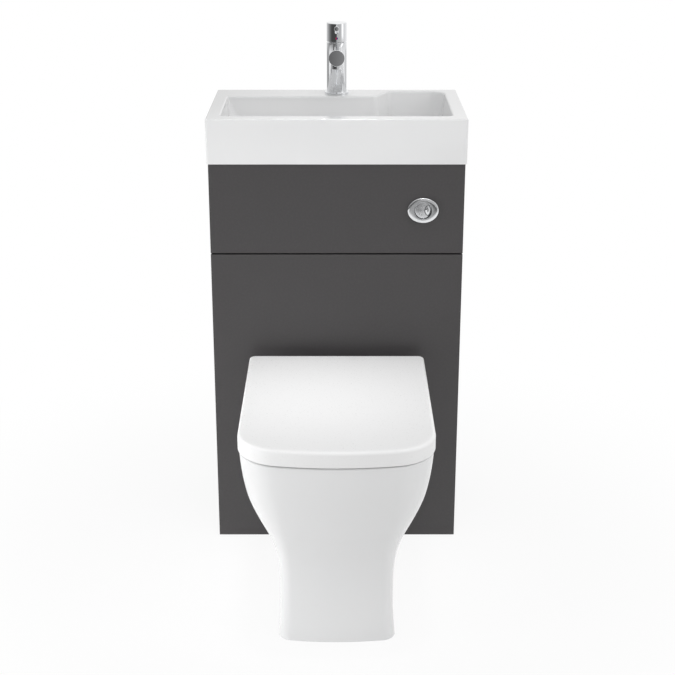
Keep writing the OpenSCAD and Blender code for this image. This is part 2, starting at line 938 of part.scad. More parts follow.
module tap_stud_nut() {
    color("silver")
        translate([0, tap_y - stud_back, 0])
            hex_nut_z(13, stud_r, ledge_low - washer_t - 8, ledge_low - washer_t);
}
module tap_cartridge() {
    color("white")
        translate([0, tap_y, 0])
            difference() {
                translate([0, 0, cartridge_low])
                    cylinder(r = cartridge_r, h = dome_low - cartridge_low);
                translate([0, 0, carrier_low])
                    cylinder(r = carrier_r + run_fit, h = pivot_z - carrier_low);
                for (x = [-tail_x, tail_x])
                    translate([x / 2, 0, cartridge_low - cut])
                        cylinder(r = tail_r / 2, h = carrier_low - cartridge_low + 2 * cut);
            }
}
module cartridge_dome() {
    color("silver")
        translate([0, tap_y, 0])
            difference() {
                union() {
                    translate([0, 0, dome_low])
                        cylinder(r = dome_r, h = pivot_z - dome_low);
                    translate([0, 0, pivot_z])
                        sphere(r = dome_r);
                }
                translate([0, 0, pivot_z])
                    sphere(r = dome_r - dome_wall);
                translate([0, 0, pivot_z - 2 * dome_r])
                    cylinder(r = dome_r + cut, h = 2 * dome_r + dome_low - pivot_z);
                translate([0, 0, dome_low - cut])
                    cylinder(r = dome_r - dome_wall, h = pivot_z - dome_low + cut);
                translate([0, 0, pivot_z])
                    cylinder(r = dome_hole_r, h = dome_r + cut);
            }
}
module cartridge_carrier() {
    color("ivory")
        translate([0, tap_y, 0])
            difference() {
                union() {
                    translate([0, 0, carrier_low + fit])
                        cylinder(r = carrier_r, h = foot_t);
                    for (x = [-stem_w / 2 - fork_w - fit, stem_w / 2 + fit])
                        translate([x, -fork_d / 2, carrier_low + foot_t - cut])
                            cube([fork_w, fork_d, pivot_z + fork_d / 2 - carrier_low - foot_t + cut]);
                }
                translate([0, 0, pivot_z])
                    rod_x(stem_pin_r + run_fit, -carrier_r, carrier_r);
            }
}
module cartridge_stem() {
    color("silver")
        translate([0, tap_y, 0]) {
            translate([-stem_w / 2, -stem_w / 2, pivot_z - fork_d / 2])
                cube([stem_w, stem_w, stem_top - pivot_z + fork_d / 2]);
            translate([0, 0, pivot_z])
                rod_x(stem_pin_r, -stem_w / 2 - fork_w, stem_w / 2 + fork_w);
        }
}
module tap_handle() {
    color("silver")
        translate([0, tap_y, 0])
            difference() {
                translate([0, 0, pivot_z])
                    cylinder(d = tap_d, h = tap_top - pivot_z);
                translate([0, 0, pivot_z])
                    sphere(r = dome_r + dome_gap);
                translate([-tap_d, 0, pivot_z])
                    rotate([lift_angle + 2, 0, 0])
                        translate([0, 0, -tap_d])
                            cube([2 * tap_d, 2 * tap_d, tap_d]);
                translate([-tap_d, -tap_d, pivot_z - cut])
                    cube([2 * tap_d, tap_d, cut + fit]);
                translate([-stem_w / 2 - run_fit, -stem_w / 2 - run_fit, pivot_z])
                    cube([stem_w + 2 * run_fit, stem_w + 2 * run_fit, stem_top - pivot_z + run_fit]);
                lever_place()
                    cylinder(r = lever_d / 2, h = lever_hold + lever_l);
                translate([0, 0, mark_z])
                    rod_y(mark_r, -tap_d / 2 - cut, -tap_d / 2 + mark_t);
            }
}
module lever_place() {
    translate([0, -tap_d / 2 + lever_hold, lever_z])
        rotate([90 - lever_tilt, 0, 0])
            children();
}
module tap_lever_pin() {
    color("silver")
        translate([0, tap_y, 0])
            lever_place() {
                cylinder(r = lever_d / 2, h = lever_hold + lever_l - 1);
                translate([0, 0, lever_hold + lever_l - 1])
                    cylinder(r1 = lever_d / 2, r2 = lever_d / 2 - 1, h = 1);
            }
}
module temperature_mark() {
    color("crimson")
        translate([0, tap_y, mark_z])
            rod_y(mark_r, -tap_d / 2 - 0.1, -tap_d / 2 + mark_t);
}
module hose(x, drop_x, z) {
    start = [x, hose_y, crimp_z];
    over = [x, hose_y, z];
    side = [drop_x, hose_y, z];
    end = [drop_x, hose_y, valve_z + valve_h];
    tube_run([start, over, side, end], hose_d / 2, hose_d / 2 - hose_wall, hose_bend);
    translate([x, hose_y, 0])
        ring_z(tail_r, tail_r - 1.5, crimp_z, crimp_z + tail_l);
}
module tap_hoses() {
    color("lightgray") {
        hose(-tail_x, hot_x, hot_run_z);
        hose(tail_x, cold_x, cold_run_z);
    }
}
module service_valves() {
    color("silver")
        for (x = [hot_x, cold_x])
            translate([x, hose_y, 0])
                difference() {
                    union() {
                        translate([0, 0, valve_z])
                            cylinder(d = valve_nut_d, h = valve_nut_h, $fn = 6);
                        translate([0, 0, valve_z])
                            cylinder(d = valve_d, h = valve_h);
                        translate([0, 0, valve_z + valve_h - valve_nut_h])
                            cylinder(d = valve_nut_d, h = valve_nut_h, $fn = 6);
                        translate([0, 0, valve_z + valve_h / 2])
                            rod_y(spindle_boss_r, -spindle_out, 0);
                    }
                    translate([0, 0, valve_z - cut])
                        cylinder(d = supply_d, h = valve_socket + cut);
                    translate([0, 0, valve_z - cut])
                        cylinder(r = valve_bore_r, h = valve_h + 2 * cut);
                    translate([0, 0, valve_z + valve_h / 2])
                        rod_y(spindle_r + run_fit, -spindle_out - cut, 0);
                }
}
module valve_spindle(x) {
    color("gold")
        translate([x, hose_y, valve_z + valve_h / 2])
            difference() {
                rod_y(spindle_r, -spindle_out - fit, -valve_bore_r - fit);
                translate([-spindle_r - cut, -spindle_out - fit - cut, -slot_w / 2])
                    cube([2 * spindle_r + 2 * cut, cut + slot_w, slot_w]);
            }
}
module hot_spindle() {
    valve_spindle(hot_x);
}
module cold_spindle() {
    valve_spindle(cold_x);
}
module valve_bracket() {
    z = valve_z + valve_nut_h;
    edge = 4;
    d = valve_d + 2 * edge;
    color("gray")
        difference() {
            union() {
                translate([hot_x - d / 2, hose_y - d / 2, z])
                    cube([inner_x - hot_x + d / 2, d, bracket_t]);
                translate([inner_x - bracket_t, hose_y - d / 2, z])
                    cube([bracket_t, d, bracket_leg]);
            }
            for (x = [hot_x, cold_x])
                translate([x, hose_y, z - cut])
                    cylinder(d = valve_d, h = bracket_leg + 2 * cut);
        }
}

// Cistern
module cistern_tank() {
    color("whitesmoke")
        difference() {
            translate([-cistern_w / 2, cistern_front_y, shelf_z])
                cube([cistern_w, cistern_d, cistern_h]);
            translate([-cistern_w / 2 + cistern_wall, cistern_front_y + cistern_wall,
                       shelf_z + cistern_wall])
                cube([cistern_w - 2 * cistern_wall, cistern_d - 2 * cistern_wall, cistern_h]);
            translate([0, cistern_y, shelf_z - cut])
                cylinder(d = flush_tail_d, h = cistern_wall + 2 * cut);
            translate([fill_x, cistern_y, shelf_z - cut])
                cylinder(r = inlet_shank_r + run_fit, h = cistern_wall + 2 * cut);
        }
}
module cistern_lid() {
    z = shelf_z + cistern_h;
    color("whitesmoke")
        difference() {
            translate([-cistern_w / 2, cistern_front_y, z])
                cube([cistern_w, cistern_d, cistern_lid_t]);
            for (i = [0, 1])
                translate([air_end_x(i), cistern_y, z - cut])
                    cylinder(r = air_r + 1, h = cistern_lid_t + 2 * cut);
        }
}
module fill_valve() {
    floor_z = shelf_z + cistern_wall;
    tail_low = shelf_z - 2 * groove_l - inlet_thread_l;
    color("white")
        translate([fill_x, cistern_y, 0])
            difference() {
                union() {
                    translate([0, 0, tail_low])
                        cylinder(r = inlet_thread_r, h = inlet_thread_l);
                    translate([0, 0, tail_low + inlet_thread_l - cut])
                        cylinder(r = inlet_thread_r - 1, h = groove_l + 2 * cut);
                    translate([0, 0, floor_z - cistern_wall - groove_l])
                        cylinder(r = inlet_shank_r, h = cistern_wall + groove_l + 1);
                    translate([0, 0, floor_z])
                        cylinder(d = fill_d + 6, h = fill_flange_t);
                    translate([0, 0, floor_z])
                        cylinder(d = fill_d, h = arm_z + 2 * fork_z - floor_z);
                    for (y = [-arm_w / 2 - fit - fork_t, arm_w / 2 + fit])
                        translate([-fill_d / 2 - arm_off - arm_off, y, arm_z - fork_z])
                            cube([2 * arm_off + fork_z, fork_t, 2 * fork_z]);
                }
                translate([0, 0, tail_low - cut])
                    cylinder(r = fill_bore_r, h = arm_z - fork_z - tail_low);
                translate([-fill_d / 2 - arm_off, 0, arm_z])
                    rod_y(arm_pin_r + run_fit, -arm_w, arm_w);
            }
}
module float_arm() {
    pivot_x = fill_x - fill_d / 2 - arm_off;
    color("lightblue")
        translate([0, cistern_y, 0]) {
            translate([pivot_x - arm_l, -arm_w / 2, arm_z - arm_t / 2])
                cube([arm_l, arm_w, arm_t]);
            translate([pivot_x, 0, arm_z])
                rod_y(arm_pin_r, -arm_w / 2 - fork_t, arm_w / 2 + fork_t);
            translate([pivot_x, 0, arm_z])
                rod_y(arm_t / 2, -arm_w / 2, arm_w / 2);
            translate([pivot_x - arm_l, 0, arm_z - arm_t / 2 - float_h])
                difference() {
                    cylinder(d = float_d, h = float_h);
                    translate([0, 0, -cut])
                        cylinder(d = float_d - 2 * float_wall, h = float_h - float_wall + cut);
                }
        }
}
module flush_valve() {
    floor_z = shelf_z + cistern_wall;
    color("white")
        translate([0, cistern_y, 0]) {
            difference() {
                union() {
                    translate([0, 0, floor_z - flush_tail_l])
                        cylinder(d = flush_tail_d, h = flush_tail_l);
                    translate([0, 0, floor_z])
                        cylinder(r = post_ring_r + 2 * post_r, h = fill_flange_t);
                    translate([0, 0, floor_z])
                        cylinder(r = seal_r + 1, h = seat_up);
                }
                translate([0, 0, floor_z - flush_tail_l - cut])
                    cylinder(r = flush_pipe_d / 2 + fit, h = flush_tail_l + seat_up + 2 * cut);
            }
            for (a = [45 : 90 : 315])
                rotate(a)
                    translate([post_ring_r, 0, floor_z])
                        cylinder(r = post_r, h = actuator_z - floor_z);
            difference() {
                translate([0, 0, actuator_z])
                    cylinder(r = post_ring_r + 2 * post_r, h = actuator_h);
                translate([0, 0, actuator_z - cut])
                    cylinder(r = overflow_r + run_fit, h = actuator_h + 2 * cut);
            }
            for (i = [0, 1])
                translate([air_end_x(i), 0, 0])
                    ring_z(air_bore_r, air_bore_r - barb_wall,
                           actuator_z + actuator_h - 1, actuator_z + actuator_h + barb_l);
        }
}
module flush_seal() {
    z = shelf_z + cistern_wall + seat_up + fit;
    color("firebrick")
        translate([0, cistern_y, 0])
            difference() {
                union() {
                    translate([0, 0, z])
                        cylinder(r = seal_r, h = seal_t);
                    translate([0, 0, z])
                        cylinder(r = overflow_r, h = overflow_top - z);
                }
                translate([0, 0, z - cut])
                    cylinder(r = overflow_r - 2, h = overflow_top - z + 2 * cut);
            }
}
module cistern_backnut() {
    color("white")
        translate([0, cistern_y, 0])
            ring_z(backnut_d / 2, flush_tail_d / 2, shelf_z - tank_nut_h, shelf_z);
}
module flush_pipe() {
    top = [0, cistern_y, shelf_z - 8];
    turn = [0, cistern_y, inlet_z];
    end = [0, front_y - flush_in, inlet_z];
    color("white")
        tube_run([top, turn, end], flush_pipe_d / 2, flush_pipe_d / 2 - 2, flush_bend);
}
module flush_cone() {
    color("black")
        translate([0, front_y, inlet_z])
            rotate([90, 0, 0])
                ring_z(inlet_d / 2, flush_pipe_d / 2, 1, flush_in + 4);
}
module air_hoses() {
    color("lightgray")
        for (i = [0, 1]) {
            x = button_x + air_side(i);
            y1 = air_turn_y + i * air_step;
            z1 = air_over_z + i * air_step;
            tube_run([
                [x, housing_back_y + 1, button_z],
                [x, y1, button_z],
                [x, y1, z1],
                [x, cistern_y, z1],
                [air_end_x(i), cistern_y, z1],
                [air_end_x(i), cistern_y, actuator_z + actuator_h + 1]
            ], air_r, air_bore_r, air_bend);
        }
}

// Flush button
function oval(w, h, y) =
    [for (i = [0 : 39]) let (a = 9 * i) [w / 2 * cos(a), y, h / 2 * sin(a)]];
module button_bezel() {
    color("silver")
        translate([button_x, 0, button_z])
            difference() {
                union() {
                    ring_solid([
                        oval(bezel_w, bezel_h, front_y),
                        oval(bezel_w, bezel_h, front_y - 1.5),
                        oval(bezel_w - 5, bezel_h - 5, front_y - bezel_t + 1.5),
                        oval(bezel_w - 12, bezel_h - 10, front_y - bezel_t)
                    ]);
                    rod_y(barrel_d / 2, front_y - 1, barrel_end_y);
                }
                rod_y(button_d / 2 + button_gap, front_y - bezel_t - cut, barrel_end_y + cut);
            }
}
module half_outline(grow, y0, y1) {
    intersection() {
        translate([half_shift + half_r, 0, 0])
            rod_y(half_r + grow, y0, y1);
        rod_y(button_d / 2 - half_margin + grow, y0, y1);
    }
}
module full_flush_button() {
    color("silver")
        translate([button_x, 0, button_z]) {
            difference() {
                rod_y(button_d / 2, front_y - button_out, front_y + button_depth);
                half_outline(button_gap, front_y - button_out - cut, front_y + button_depth + cut);
            }
            translate([air_side(0), 0, 0])
                rod_y(button_stem_r, front_y + button_depth - 1, piston_y);
            translate([air_side(0), 0, 0])
                rod_y(piston_r, piston_y - 1, piston_y + 6);
        }
}
module half_flush_button() {
    color("silver")
        translate([button_x, 0, button_z]) {
            half_outline(0, front_y - button_out - 0.5, front_y + button_depth);
            translate([air_side(1), 0, 0])
                rod_y(button_stem_r, front_y + button_depth - 1, piston_y);
            translate([air_side(1), 0, 0])
                rod_y(piston_r, piston_y - 1, piston_y + 6);
        }
}
module button_housing() {
    color("white")
        translate([button_x, 0, button_z])
            difference() {
                union() {
                    rod_y(barrel_d / 2 + 2, barrel_end_y, housing_back_y);
                    for (i = [0, 1])
                        translate([air_side(i), 0, 0])
                            rod_y(air_bore_r, housing_back_y - 1, housing_back_y + barb_l);
                }
                for (i = [0, 1])
                    translate([air_side(i), 0, 0]) {
                        rod_y(piston_r + run_fit, barrel_end_y - cut, housing_back_y - 3);
                        rod_y(air_bore_r - barb_wall, housing_back_y - 4, housing_back_y + barb_l + cut);
                    }
            }
}
module button_nut() {
    color("gray")
        translate([button_x, panel_back_y, button_z])
            rotate([-90, 0, 0])
                ring_z(barrel_d / 2 + 7, barrel_d / 2, 0, 8);
}

// Pan
function flare(z) = lookup(z / pan_h, [
    [0.31, 0], [0.39, 0.03], [0.46, 0.10], [0.54, 0.25], [0.62, 0.46],
    [0.70, 0.66], [0.77, 0.80], [0.85, 0.90], [0.93, 0.965], [1, 1]
]);
function splay(z) = z > base_splay_h ? 0 : base_splay * (1 - z / base_splay_h);
function pan_ring(z, inset) =
    let (
        w = foot_w + (pan_w - foot_w) * flare(z) + 2 * splay(z) - 2 * inset,
        front = foot_proj + (pan_front - foot_proj) * flare(z) + splay(z) - inset
    )
    at_height(bowed_plan(
        w, front, inset, front_bow - inset,
        foot_corner + (front_corner - foot_corner) * flare(z) - inset, pan_back_r), z);
function bowl_size(z) = lookup((pan_h - z) / bowl_depth, [
    [0, bowl_w], [0.15, bowl_w - 6], [0.40, bowl_w - 26], [0.57, bowl_w - 54],
    [0.72, bowl_w - 88], [0.86, bowl_w - 120], [0.95, bowl_w - 140], [1, bowl_w - 166]
]);
function bowl_ring(z, grow, z_shift) =
    let (
        w = bowl_size(z),
        lost = bowl_w - w,
        front = pan_front - rim_front - lost,
        back = bowl_back + lost * 0.28
    )
    at_height(bowed_plan(
        w + 2 * grow, front + grow, back - grow,
        w * 0.52 + grow, w * 0.36 + grow, w * 0.3 + grow), z + z_shift);
bowl_levels = [0, 0.08, 0.25, 0.40, 0.57, 0.72, 0.86, 0.95, 1];
skin_levels = [0.01, 0.08, 0.15, 0.31, 0.38, 0.46, 0.54, 0.62, 0.70, 0.77, 0.85, 0.93];
module pan() {
    color("white")
        difference() {
            union() {
                ring_solid([
                    for (s = [1, 0.95, 0.86, 0.72, 0.60])
                        bowl_ring(pan_h - bowl_depth * s, pan_wall, s > 0.9 ? -pan_wall : -4),
                    bowl_ring(hollow_z, pan_wall, 0),
                    for (s = [0, 0.28, 0.56, 1])
                        pan_ring(hollow_z + (waist_z - hollow_z) * s, pan_wall),
                    at_height(pan_ring(waist_z, pan_wall), 0),
                    pan_ring(0, pan_edge),
                    for (s = skin_levels)
                        pan_ring(s * pan_h, 0),
                    pan_ring(pan_h - pan_edge, 0),
                    pan_ring(pan_h, pan_edge),
                    for (s = bowl_levels)
                        bowl_ring(pan_h - bowl_depth * s, 0, 0)
                ]);
                trapway(trap_way_r + trap_wall_out, trap_start);
                translate([0, 0, outlet_z])
                    rod_y(outlet_d / 2, front_y - 20, spigot_y);
            }
            trapway(trap_way_r, trap_mouth);
            translate([0, 0, outlet_z])
                rod_y(outlet_d / 2 - 8, front_y - 40, spigot_y + cut);
            translate([0, 0, inlet_z])
                rod_y(inlet_d / 2, front_y - flush_in - 8, front_y + cut);
            translate([0, 0, inlet_z])
                rod_y(inlet_d / 2 - 12, front_y - bowl_back - 20, front_y);
            for (x = [-seat_pitch / 2, seat_pitch / 2])
                translate([x, front_y - hinge_back, 0]) {
                    translate([0, 0, hollow_z - 2])
                        cylinder(r = pocket_r, h = deck_low - hollow_z + 2);
                    translate([0, 0, deck_low - cut])
                        cylinder(r = seat_stud_r + 1, h = pan_h - deck_low + 2 * cut);
                }
            translate([0, front_y - bracket_v, bracket_hole_z])
                rod_x(side_screw_r, -pan_w, pan_w);
        }
}
// The trap's way from the bowl over the weir to the outlet
module trapway(r, start) {
    path = [
        [0, front_y - start, sump_z],
        [0, front_y - trap_bends[0], sump_z],
        [0, front_y - trap_bends[1], weir_z],
        [0, front_y - trap_bends[2], outlet_z],
        [0, front_y - trap_end, outlet_z]
    ];
    for (i = [0 : 3])
        translate(path[i])
            point_along(unit(path[i + 1] - path[i]))
                cylinder(r = r, h = norm(path[i + 1] - path[i]), $fn = trap_points);
    for (i = [1 : 3])
        translate(path[i])
            sphere(r = r + bend_swell, $fn = trap_points);
}
module pan_brackets() {
    x = foot_w / 2 - pan_wall;
    color("gray")
        mirrored_x()
            difference() {
                union() {
                    translate([x - bracket_t, front_y - bracket_v - bracket_l / 2, 0])
                        cube([bracket_t, bracket_l, bracket_h]);
                    translate([x - bracket_foot, front_y - bracket_v - bracket_l / 2, 0])
                        cube([bracket_foot, bracket_l, bracket_t]);
                }
                translate([0, front_y - bracket_v, bracket_hole_z])
                    rod_x(side_screw_r, 0, pan_w);
                translate([x - bracket_hole_in, front_y - bracket_v, -cut])
                    cylinder(r = floor_hole_r, h = bracket_t + 2 * cut);
            }
}
module pan_screws() {
    x = foot_w / 2 + splay(bracket_hole_z - side_head_r) + fit;
    color("silver")
        mirrored_x()
            translate([0, front_y - bracket_v, bracket_hole_z]) {
                rod_x(side_screw_r - run_fit, foot_w / 2 - pan_wall - 12, x + 1);
                rod_x(side_head_r, x, x + side_head_t);
            }
}
module pan_connector() {
    color("white")
        translate([0, 0, outlet_z])
            difference() {
                union() {
                    rod_y(outlet_d / 2 + connector_wall, collar_y + relief_l, wall_y);
                    rod_y(outlet_d / 2 + connector_wall - 1, collar_y - cut, collar_y + relief_l + cut);
                    rod_y(outlet_d / 2 + connector_wall + 4, spigot_y - socket_l, collar_y);
                }
                rod_y(outlet_d / 2 + run_fit, spigot_y - socket_l - cut, spigot_y + fit);
                rod_y(outlet_d / 2 - connector_wall, spigot_y - cut, wall_y + cut);
            }
}

// Seat and lid
function lid_ring(inset, z) =
    at_height(bowed_plan(
        lid_w - 2 * inset, pan_proj - inset, lid_back + inset,
        front_bow - inset, max(front_corner - inset, 6), max(lid_back_r - inset, 2)), z);
function seat_outer(inset, z) =
    let (side = skirt_t + seat_side_gap + inset)
    at_height(bowed_plan(
        lid_w - 2 * side, pan_proj - skirt_t - seat_front_gap - inset, seat_back + inset,
        front_bow - side, front_corner - side, 6), z);
function seat_inner(grow, z) =
    let (w = seat_hole_w)
    at_height(bowed_plan(
        w + 2 * grow, pan_proj - seat_rim_front + grow, seat_hole_back - grow,
        w * 0.54 + grow, w * 0.38 + grow, w * 0.3 + grow), z);
module seat_ring() {
    color("white")
        difference() {
            union() {
                ring_solid([
                    seat_outer(0, seat_low),
                    seat_outer(0, seat_top - 4),
                    seat_outer(1.2, seat_top - 1.2),
                    seat_outer(4, seat_top),
                    seat_inner(12, seat_top),
                    seat_inner(3, seat_top - 4),
                    seat_inner(0, seat_top - 9),
                    seat_inner(0, seat_low)
                ], looped = true);
                hinge_knuckle(knuckle_out_x, seat_low + 6, seat_top, seat_back + 8);
            }
            hinge_bore();
        }
}
module hinge_knuckle(x, z0, z1, reach) {
    mirrored_x() {
        translate([0, front_y - hinge_back, hinge_z])
            rod_x(knuckle_r, x, x + knuckle_w);
        translate([x, front_y - reach, z0])
            cube([knuckle_w, reach - hinge_back, z1 - z0]);
    }
}
module hinge_bore() {
    translate([0, front_y - hinge_back, hinge_z])
        mirrored_x()
            rod_x(hinge_pin_d / 2 + run_fit, knuckle_in_x - cut, knuckle_out_x + knuckle_w + cut);
}
module seat_lid() {
    color("white")
        difference() {
            union() {
                difference() {
                    ring_solid([
                        lid_ring(skirt_t, lid_under),
                        lid_ring(skirt_t, lid_low),
                        lid_ring(0, lid_low),
                        lid_ring(0, lid_top - 8),
                        lid_ring(0.8, lid_top - 4),
                        lid_ring(3, lid_top - 1.2),
                        lid_ring(8, lid_top - 0.2),
                        lid_ring(40, lid_top)
                    ]);
                    translate([-lid_w, front_y - hinge_back - 5, lid_low - cut])
                        cube([2 * lid_w, hinge_back, hinge_z - 4.5 - lid_low + cut]);
                    mirrored_x()
                        translate([post_x0 - 5, front_y - lid_back - skirt_t - cut, lid_low - cut])
                            cube([post_w + 10, skirt_t + 2 * cut, lid_under - lid_low + cut]);
                }
                mirrored_x() {
                    translate([0, front_y - hinge_back, hinge_z])
                        rod_x(knuckle_r, knuckle_in_x, knuckle_in_x + knuckle_w);
                    translate([knuckle_in_x, front_y - hinge_back - knuckle_r, hinge_z])
                        cube([knuckle_w, 2 * knuckle_r, lid_under + 0.5 - hinge_z]);
                }
            }
            hinge_bore();
        }
}
module seat_buffers() {
    color("lightgray")
        mirrored_x()
            for (p = seat_buffer_places)
                translate([p.x, front_y - p.y, pan_h])
                    cylinder(r = buffer_r, h = buffer_h);
}
module lid_buffers() {
    color("lightgray")
        mirrored_x()
            for (p = lid_buffer_places)
                translate([p.x, front_y - p.y, seat_top])
                    cylinder(r = buffer_r, h = lid_under - seat_top);
}
module hinge_posts() {
    x0 = post_x0;
    w = post_w;
    color("silver")
        mirrored_x()
            difference() {
                union() {
                    translate([x0 - post_base_edge, front_y - hinge_back - 2 * knuckle_r + 1, pan_h])
                        cube([w + 2 * post_base_edge, 2 * knuckle_r - 1 + post_back, post_base_t]);
                    translate([x0, front_y - hinge_back - knuckle_r, pan_h])
                        cube([w, 2 * knuckle_r, hinge_z - pan_h]);
                    translate([0, front_y - hinge_back, hinge_z])
                        rod_x(post_back, x0, x0 + w);
                    translate([seat_pitch / 2, front_y - hinge_back, stud_low_z])
                        cylinder(r = seat_stud_r, h = pan_h - stud_low_z + 1);
                }
                translate([0, front_y - hinge_back, hinge_z])
                    rod_x(hinge_pin_d / 2 + run_fit, x0 - cut, x0 + w + cut);
            }
}
module hinge_pins() {
    color("silver")
        mirrored_x()
            translate([0, front_y - hinge_back, hinge_z])
                rod_x(hinge_pin_d / 2, knuckle_in_x + 1, knuckle_out_x + knuckle_w - 1);
}
module seat_nuts() {
    color("white")
        mirrored_x()
            translate([seat_pitch / 2, front_y - hinge_back, 0])
                hex_nut_z(seat_nut_across, seat_stud_r, deck_low - seat_nut_h, deck_low);
}

left_side_panel();
right_side_panel();
front_lower_panel();
front_upper_panel();
front_rails();
back_rails();
cistern_shelf();
corner_blocks();
foot_glides();
basin();
waste_body();
waste_plug();
waste_backnut();
trap_body();
trap_cup();
trap_nuts();
waste_pipe();
tap_body();
tap_aerator();
tap_stud();
tap_backing_washer();
tap_stud_nut();
tap_cartridge();
cartridge_dome();
cartridge_carrier();
cartridge_stem();
tap_handle();
tap_lever_pin();
temperature_mark();
tap_hoses();
service_valves();
hot_spindle();
cold_spindle();
valve_bracket();
cistern_tank();
cistern_lid();
fill_valve();
float_arm();
flush_valve();
flush_seal();
cistern_backnut();
flush_pipe();
flush_cone();
air_hoses();
button_bezel();
full_flush_button();
half_flush_button();
button_housing();
button_nut();
pan();
pan_brackets();
pan_screws();
pan_connector();
seat_ring();
seat_lid();
seat_buffers();
lid_buffers();
hinge_posts();
hinge_pins();
seat_nuts();
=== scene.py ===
# %% [markdown]
# # A basin over a toilet, dressed for its picture
# The packed model already holds every piece at its true size, as one frame. This lesson
# gives that frame its looks: softer edges, finer curves, and a finish for each material.
# Nothing here changes a size.

# %% Load the frame
import math
import bpy
import bmesh
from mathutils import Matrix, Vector, geometry
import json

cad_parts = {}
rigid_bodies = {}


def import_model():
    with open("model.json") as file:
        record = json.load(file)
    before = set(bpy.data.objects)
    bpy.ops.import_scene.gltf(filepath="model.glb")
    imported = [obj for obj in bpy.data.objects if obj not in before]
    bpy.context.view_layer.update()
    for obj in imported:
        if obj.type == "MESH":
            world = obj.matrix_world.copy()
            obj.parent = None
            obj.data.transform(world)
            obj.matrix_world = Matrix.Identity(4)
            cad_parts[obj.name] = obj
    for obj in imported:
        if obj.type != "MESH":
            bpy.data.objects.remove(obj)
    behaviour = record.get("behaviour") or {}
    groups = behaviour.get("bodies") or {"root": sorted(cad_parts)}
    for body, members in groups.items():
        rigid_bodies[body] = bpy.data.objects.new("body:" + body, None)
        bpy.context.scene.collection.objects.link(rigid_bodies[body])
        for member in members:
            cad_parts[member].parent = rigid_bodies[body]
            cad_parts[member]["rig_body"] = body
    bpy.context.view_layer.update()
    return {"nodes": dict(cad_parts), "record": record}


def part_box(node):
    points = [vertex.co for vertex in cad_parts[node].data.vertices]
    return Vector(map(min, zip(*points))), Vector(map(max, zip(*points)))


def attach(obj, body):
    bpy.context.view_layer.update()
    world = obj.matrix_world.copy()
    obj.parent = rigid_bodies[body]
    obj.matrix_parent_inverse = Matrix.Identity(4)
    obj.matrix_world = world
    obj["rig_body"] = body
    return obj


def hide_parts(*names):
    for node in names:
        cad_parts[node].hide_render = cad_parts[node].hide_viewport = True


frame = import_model()
nodes = frame["nodes"]
print("pieces in the frame:", len(nodes))

# %% [markdown]
# ## Where the eye stands
# A camera is four facts: its place, its tilt, its lens and its sensor. The picture was
# taken from shoulder height, 2.65 m in front of the cabinet, tilted 20 degrees down
# through a long lens, so upright edges stay close to parallel. The lens in millimetres
# follows from a focal length in picture points, over a frame of 675 points.

# %% Camera
scene = bpy.context.scene
frame_points, focal_points = 675, 1409
tilt_down = 0.353


def placed(name, data):
    """A new object of that name, in the scene"""
    thing = bpy.data.objects.new(name, data)
    scene.collection.objects.link(thing)
    return thing


eye = bpy.data.cameras.new("eye")
eye.sensor_width = 36
eye.lens = focal_points / frame_points * 36
camera = placed("eye", eye)
camera.location = (0.0016, -2.5565, 1.422)
camera.rotation_euler = (math.pi / 2 - tilt_down, 0, 0)
scene.camera = camera
scene.view_settings.view_transform = "Standard"
print("lens", round(eye.lens, 1), "mm")

# %% [markdown]
# ## Sums on sockets
# A shader is a small calculation. One class wraps an output socket and lets Python's own
# signs add the Math nodes, so `1 - mask` reads as it would on paper. The signs differ only
# in the name of their operation, so one loop gives them all to the class.

# %% Wires
class Wire:
    def __init__(self, sheet, socket):
        self.sheet = sheet
        self.socket = socket

    def sum(self, operation, *others, swapped=False):
        """A Math node that gets this wire and the others"""
        values = (*others, self) if swapped else (self, *others)
        return self.sheet.node("ShaderNodeMath", {"operation": operation}, dict(enumerate(values)))

    def over(self, edge):
        return self.sum("GREATER_THAN", edge)

    def ramp(self, low, high, start=0.0, end=1.0):
        """From start to end while this value goes from low to high, and flat outside"""
        inputs = {0: self, 1: low, 2: high, 3: start, 4: end}
        return self.sheet.node("ShaderNodeMapRange", {"interpolation_type": "SMOOTHSTEP"}, inputs)


def sign(operation, swapped):
    return lambda wire, other: wire.sum(operation, other, swapped=swapped)


signs = {"add": "ADD", "sub": "SUBTRACT", "mul": "MULTIPLY", "truediv": "DIVIDE"}
for name, operation in signs.items():
    setattr(Wire, "__" + name + "__", sign(operation, False))
    setattr(Wire, "__r" + name + "__", sign(operation, True))
print("signs on a wire:", list(signs))

# %% [markdown]
# ## A sheet to put nodes on
# The second class holds a node tree and puts any node on it: its settings first, then the
# values or links of its inputs. Nodes that every finish needs, such as noise or bump, get
# a short name of their own. Geometry trees use it too.

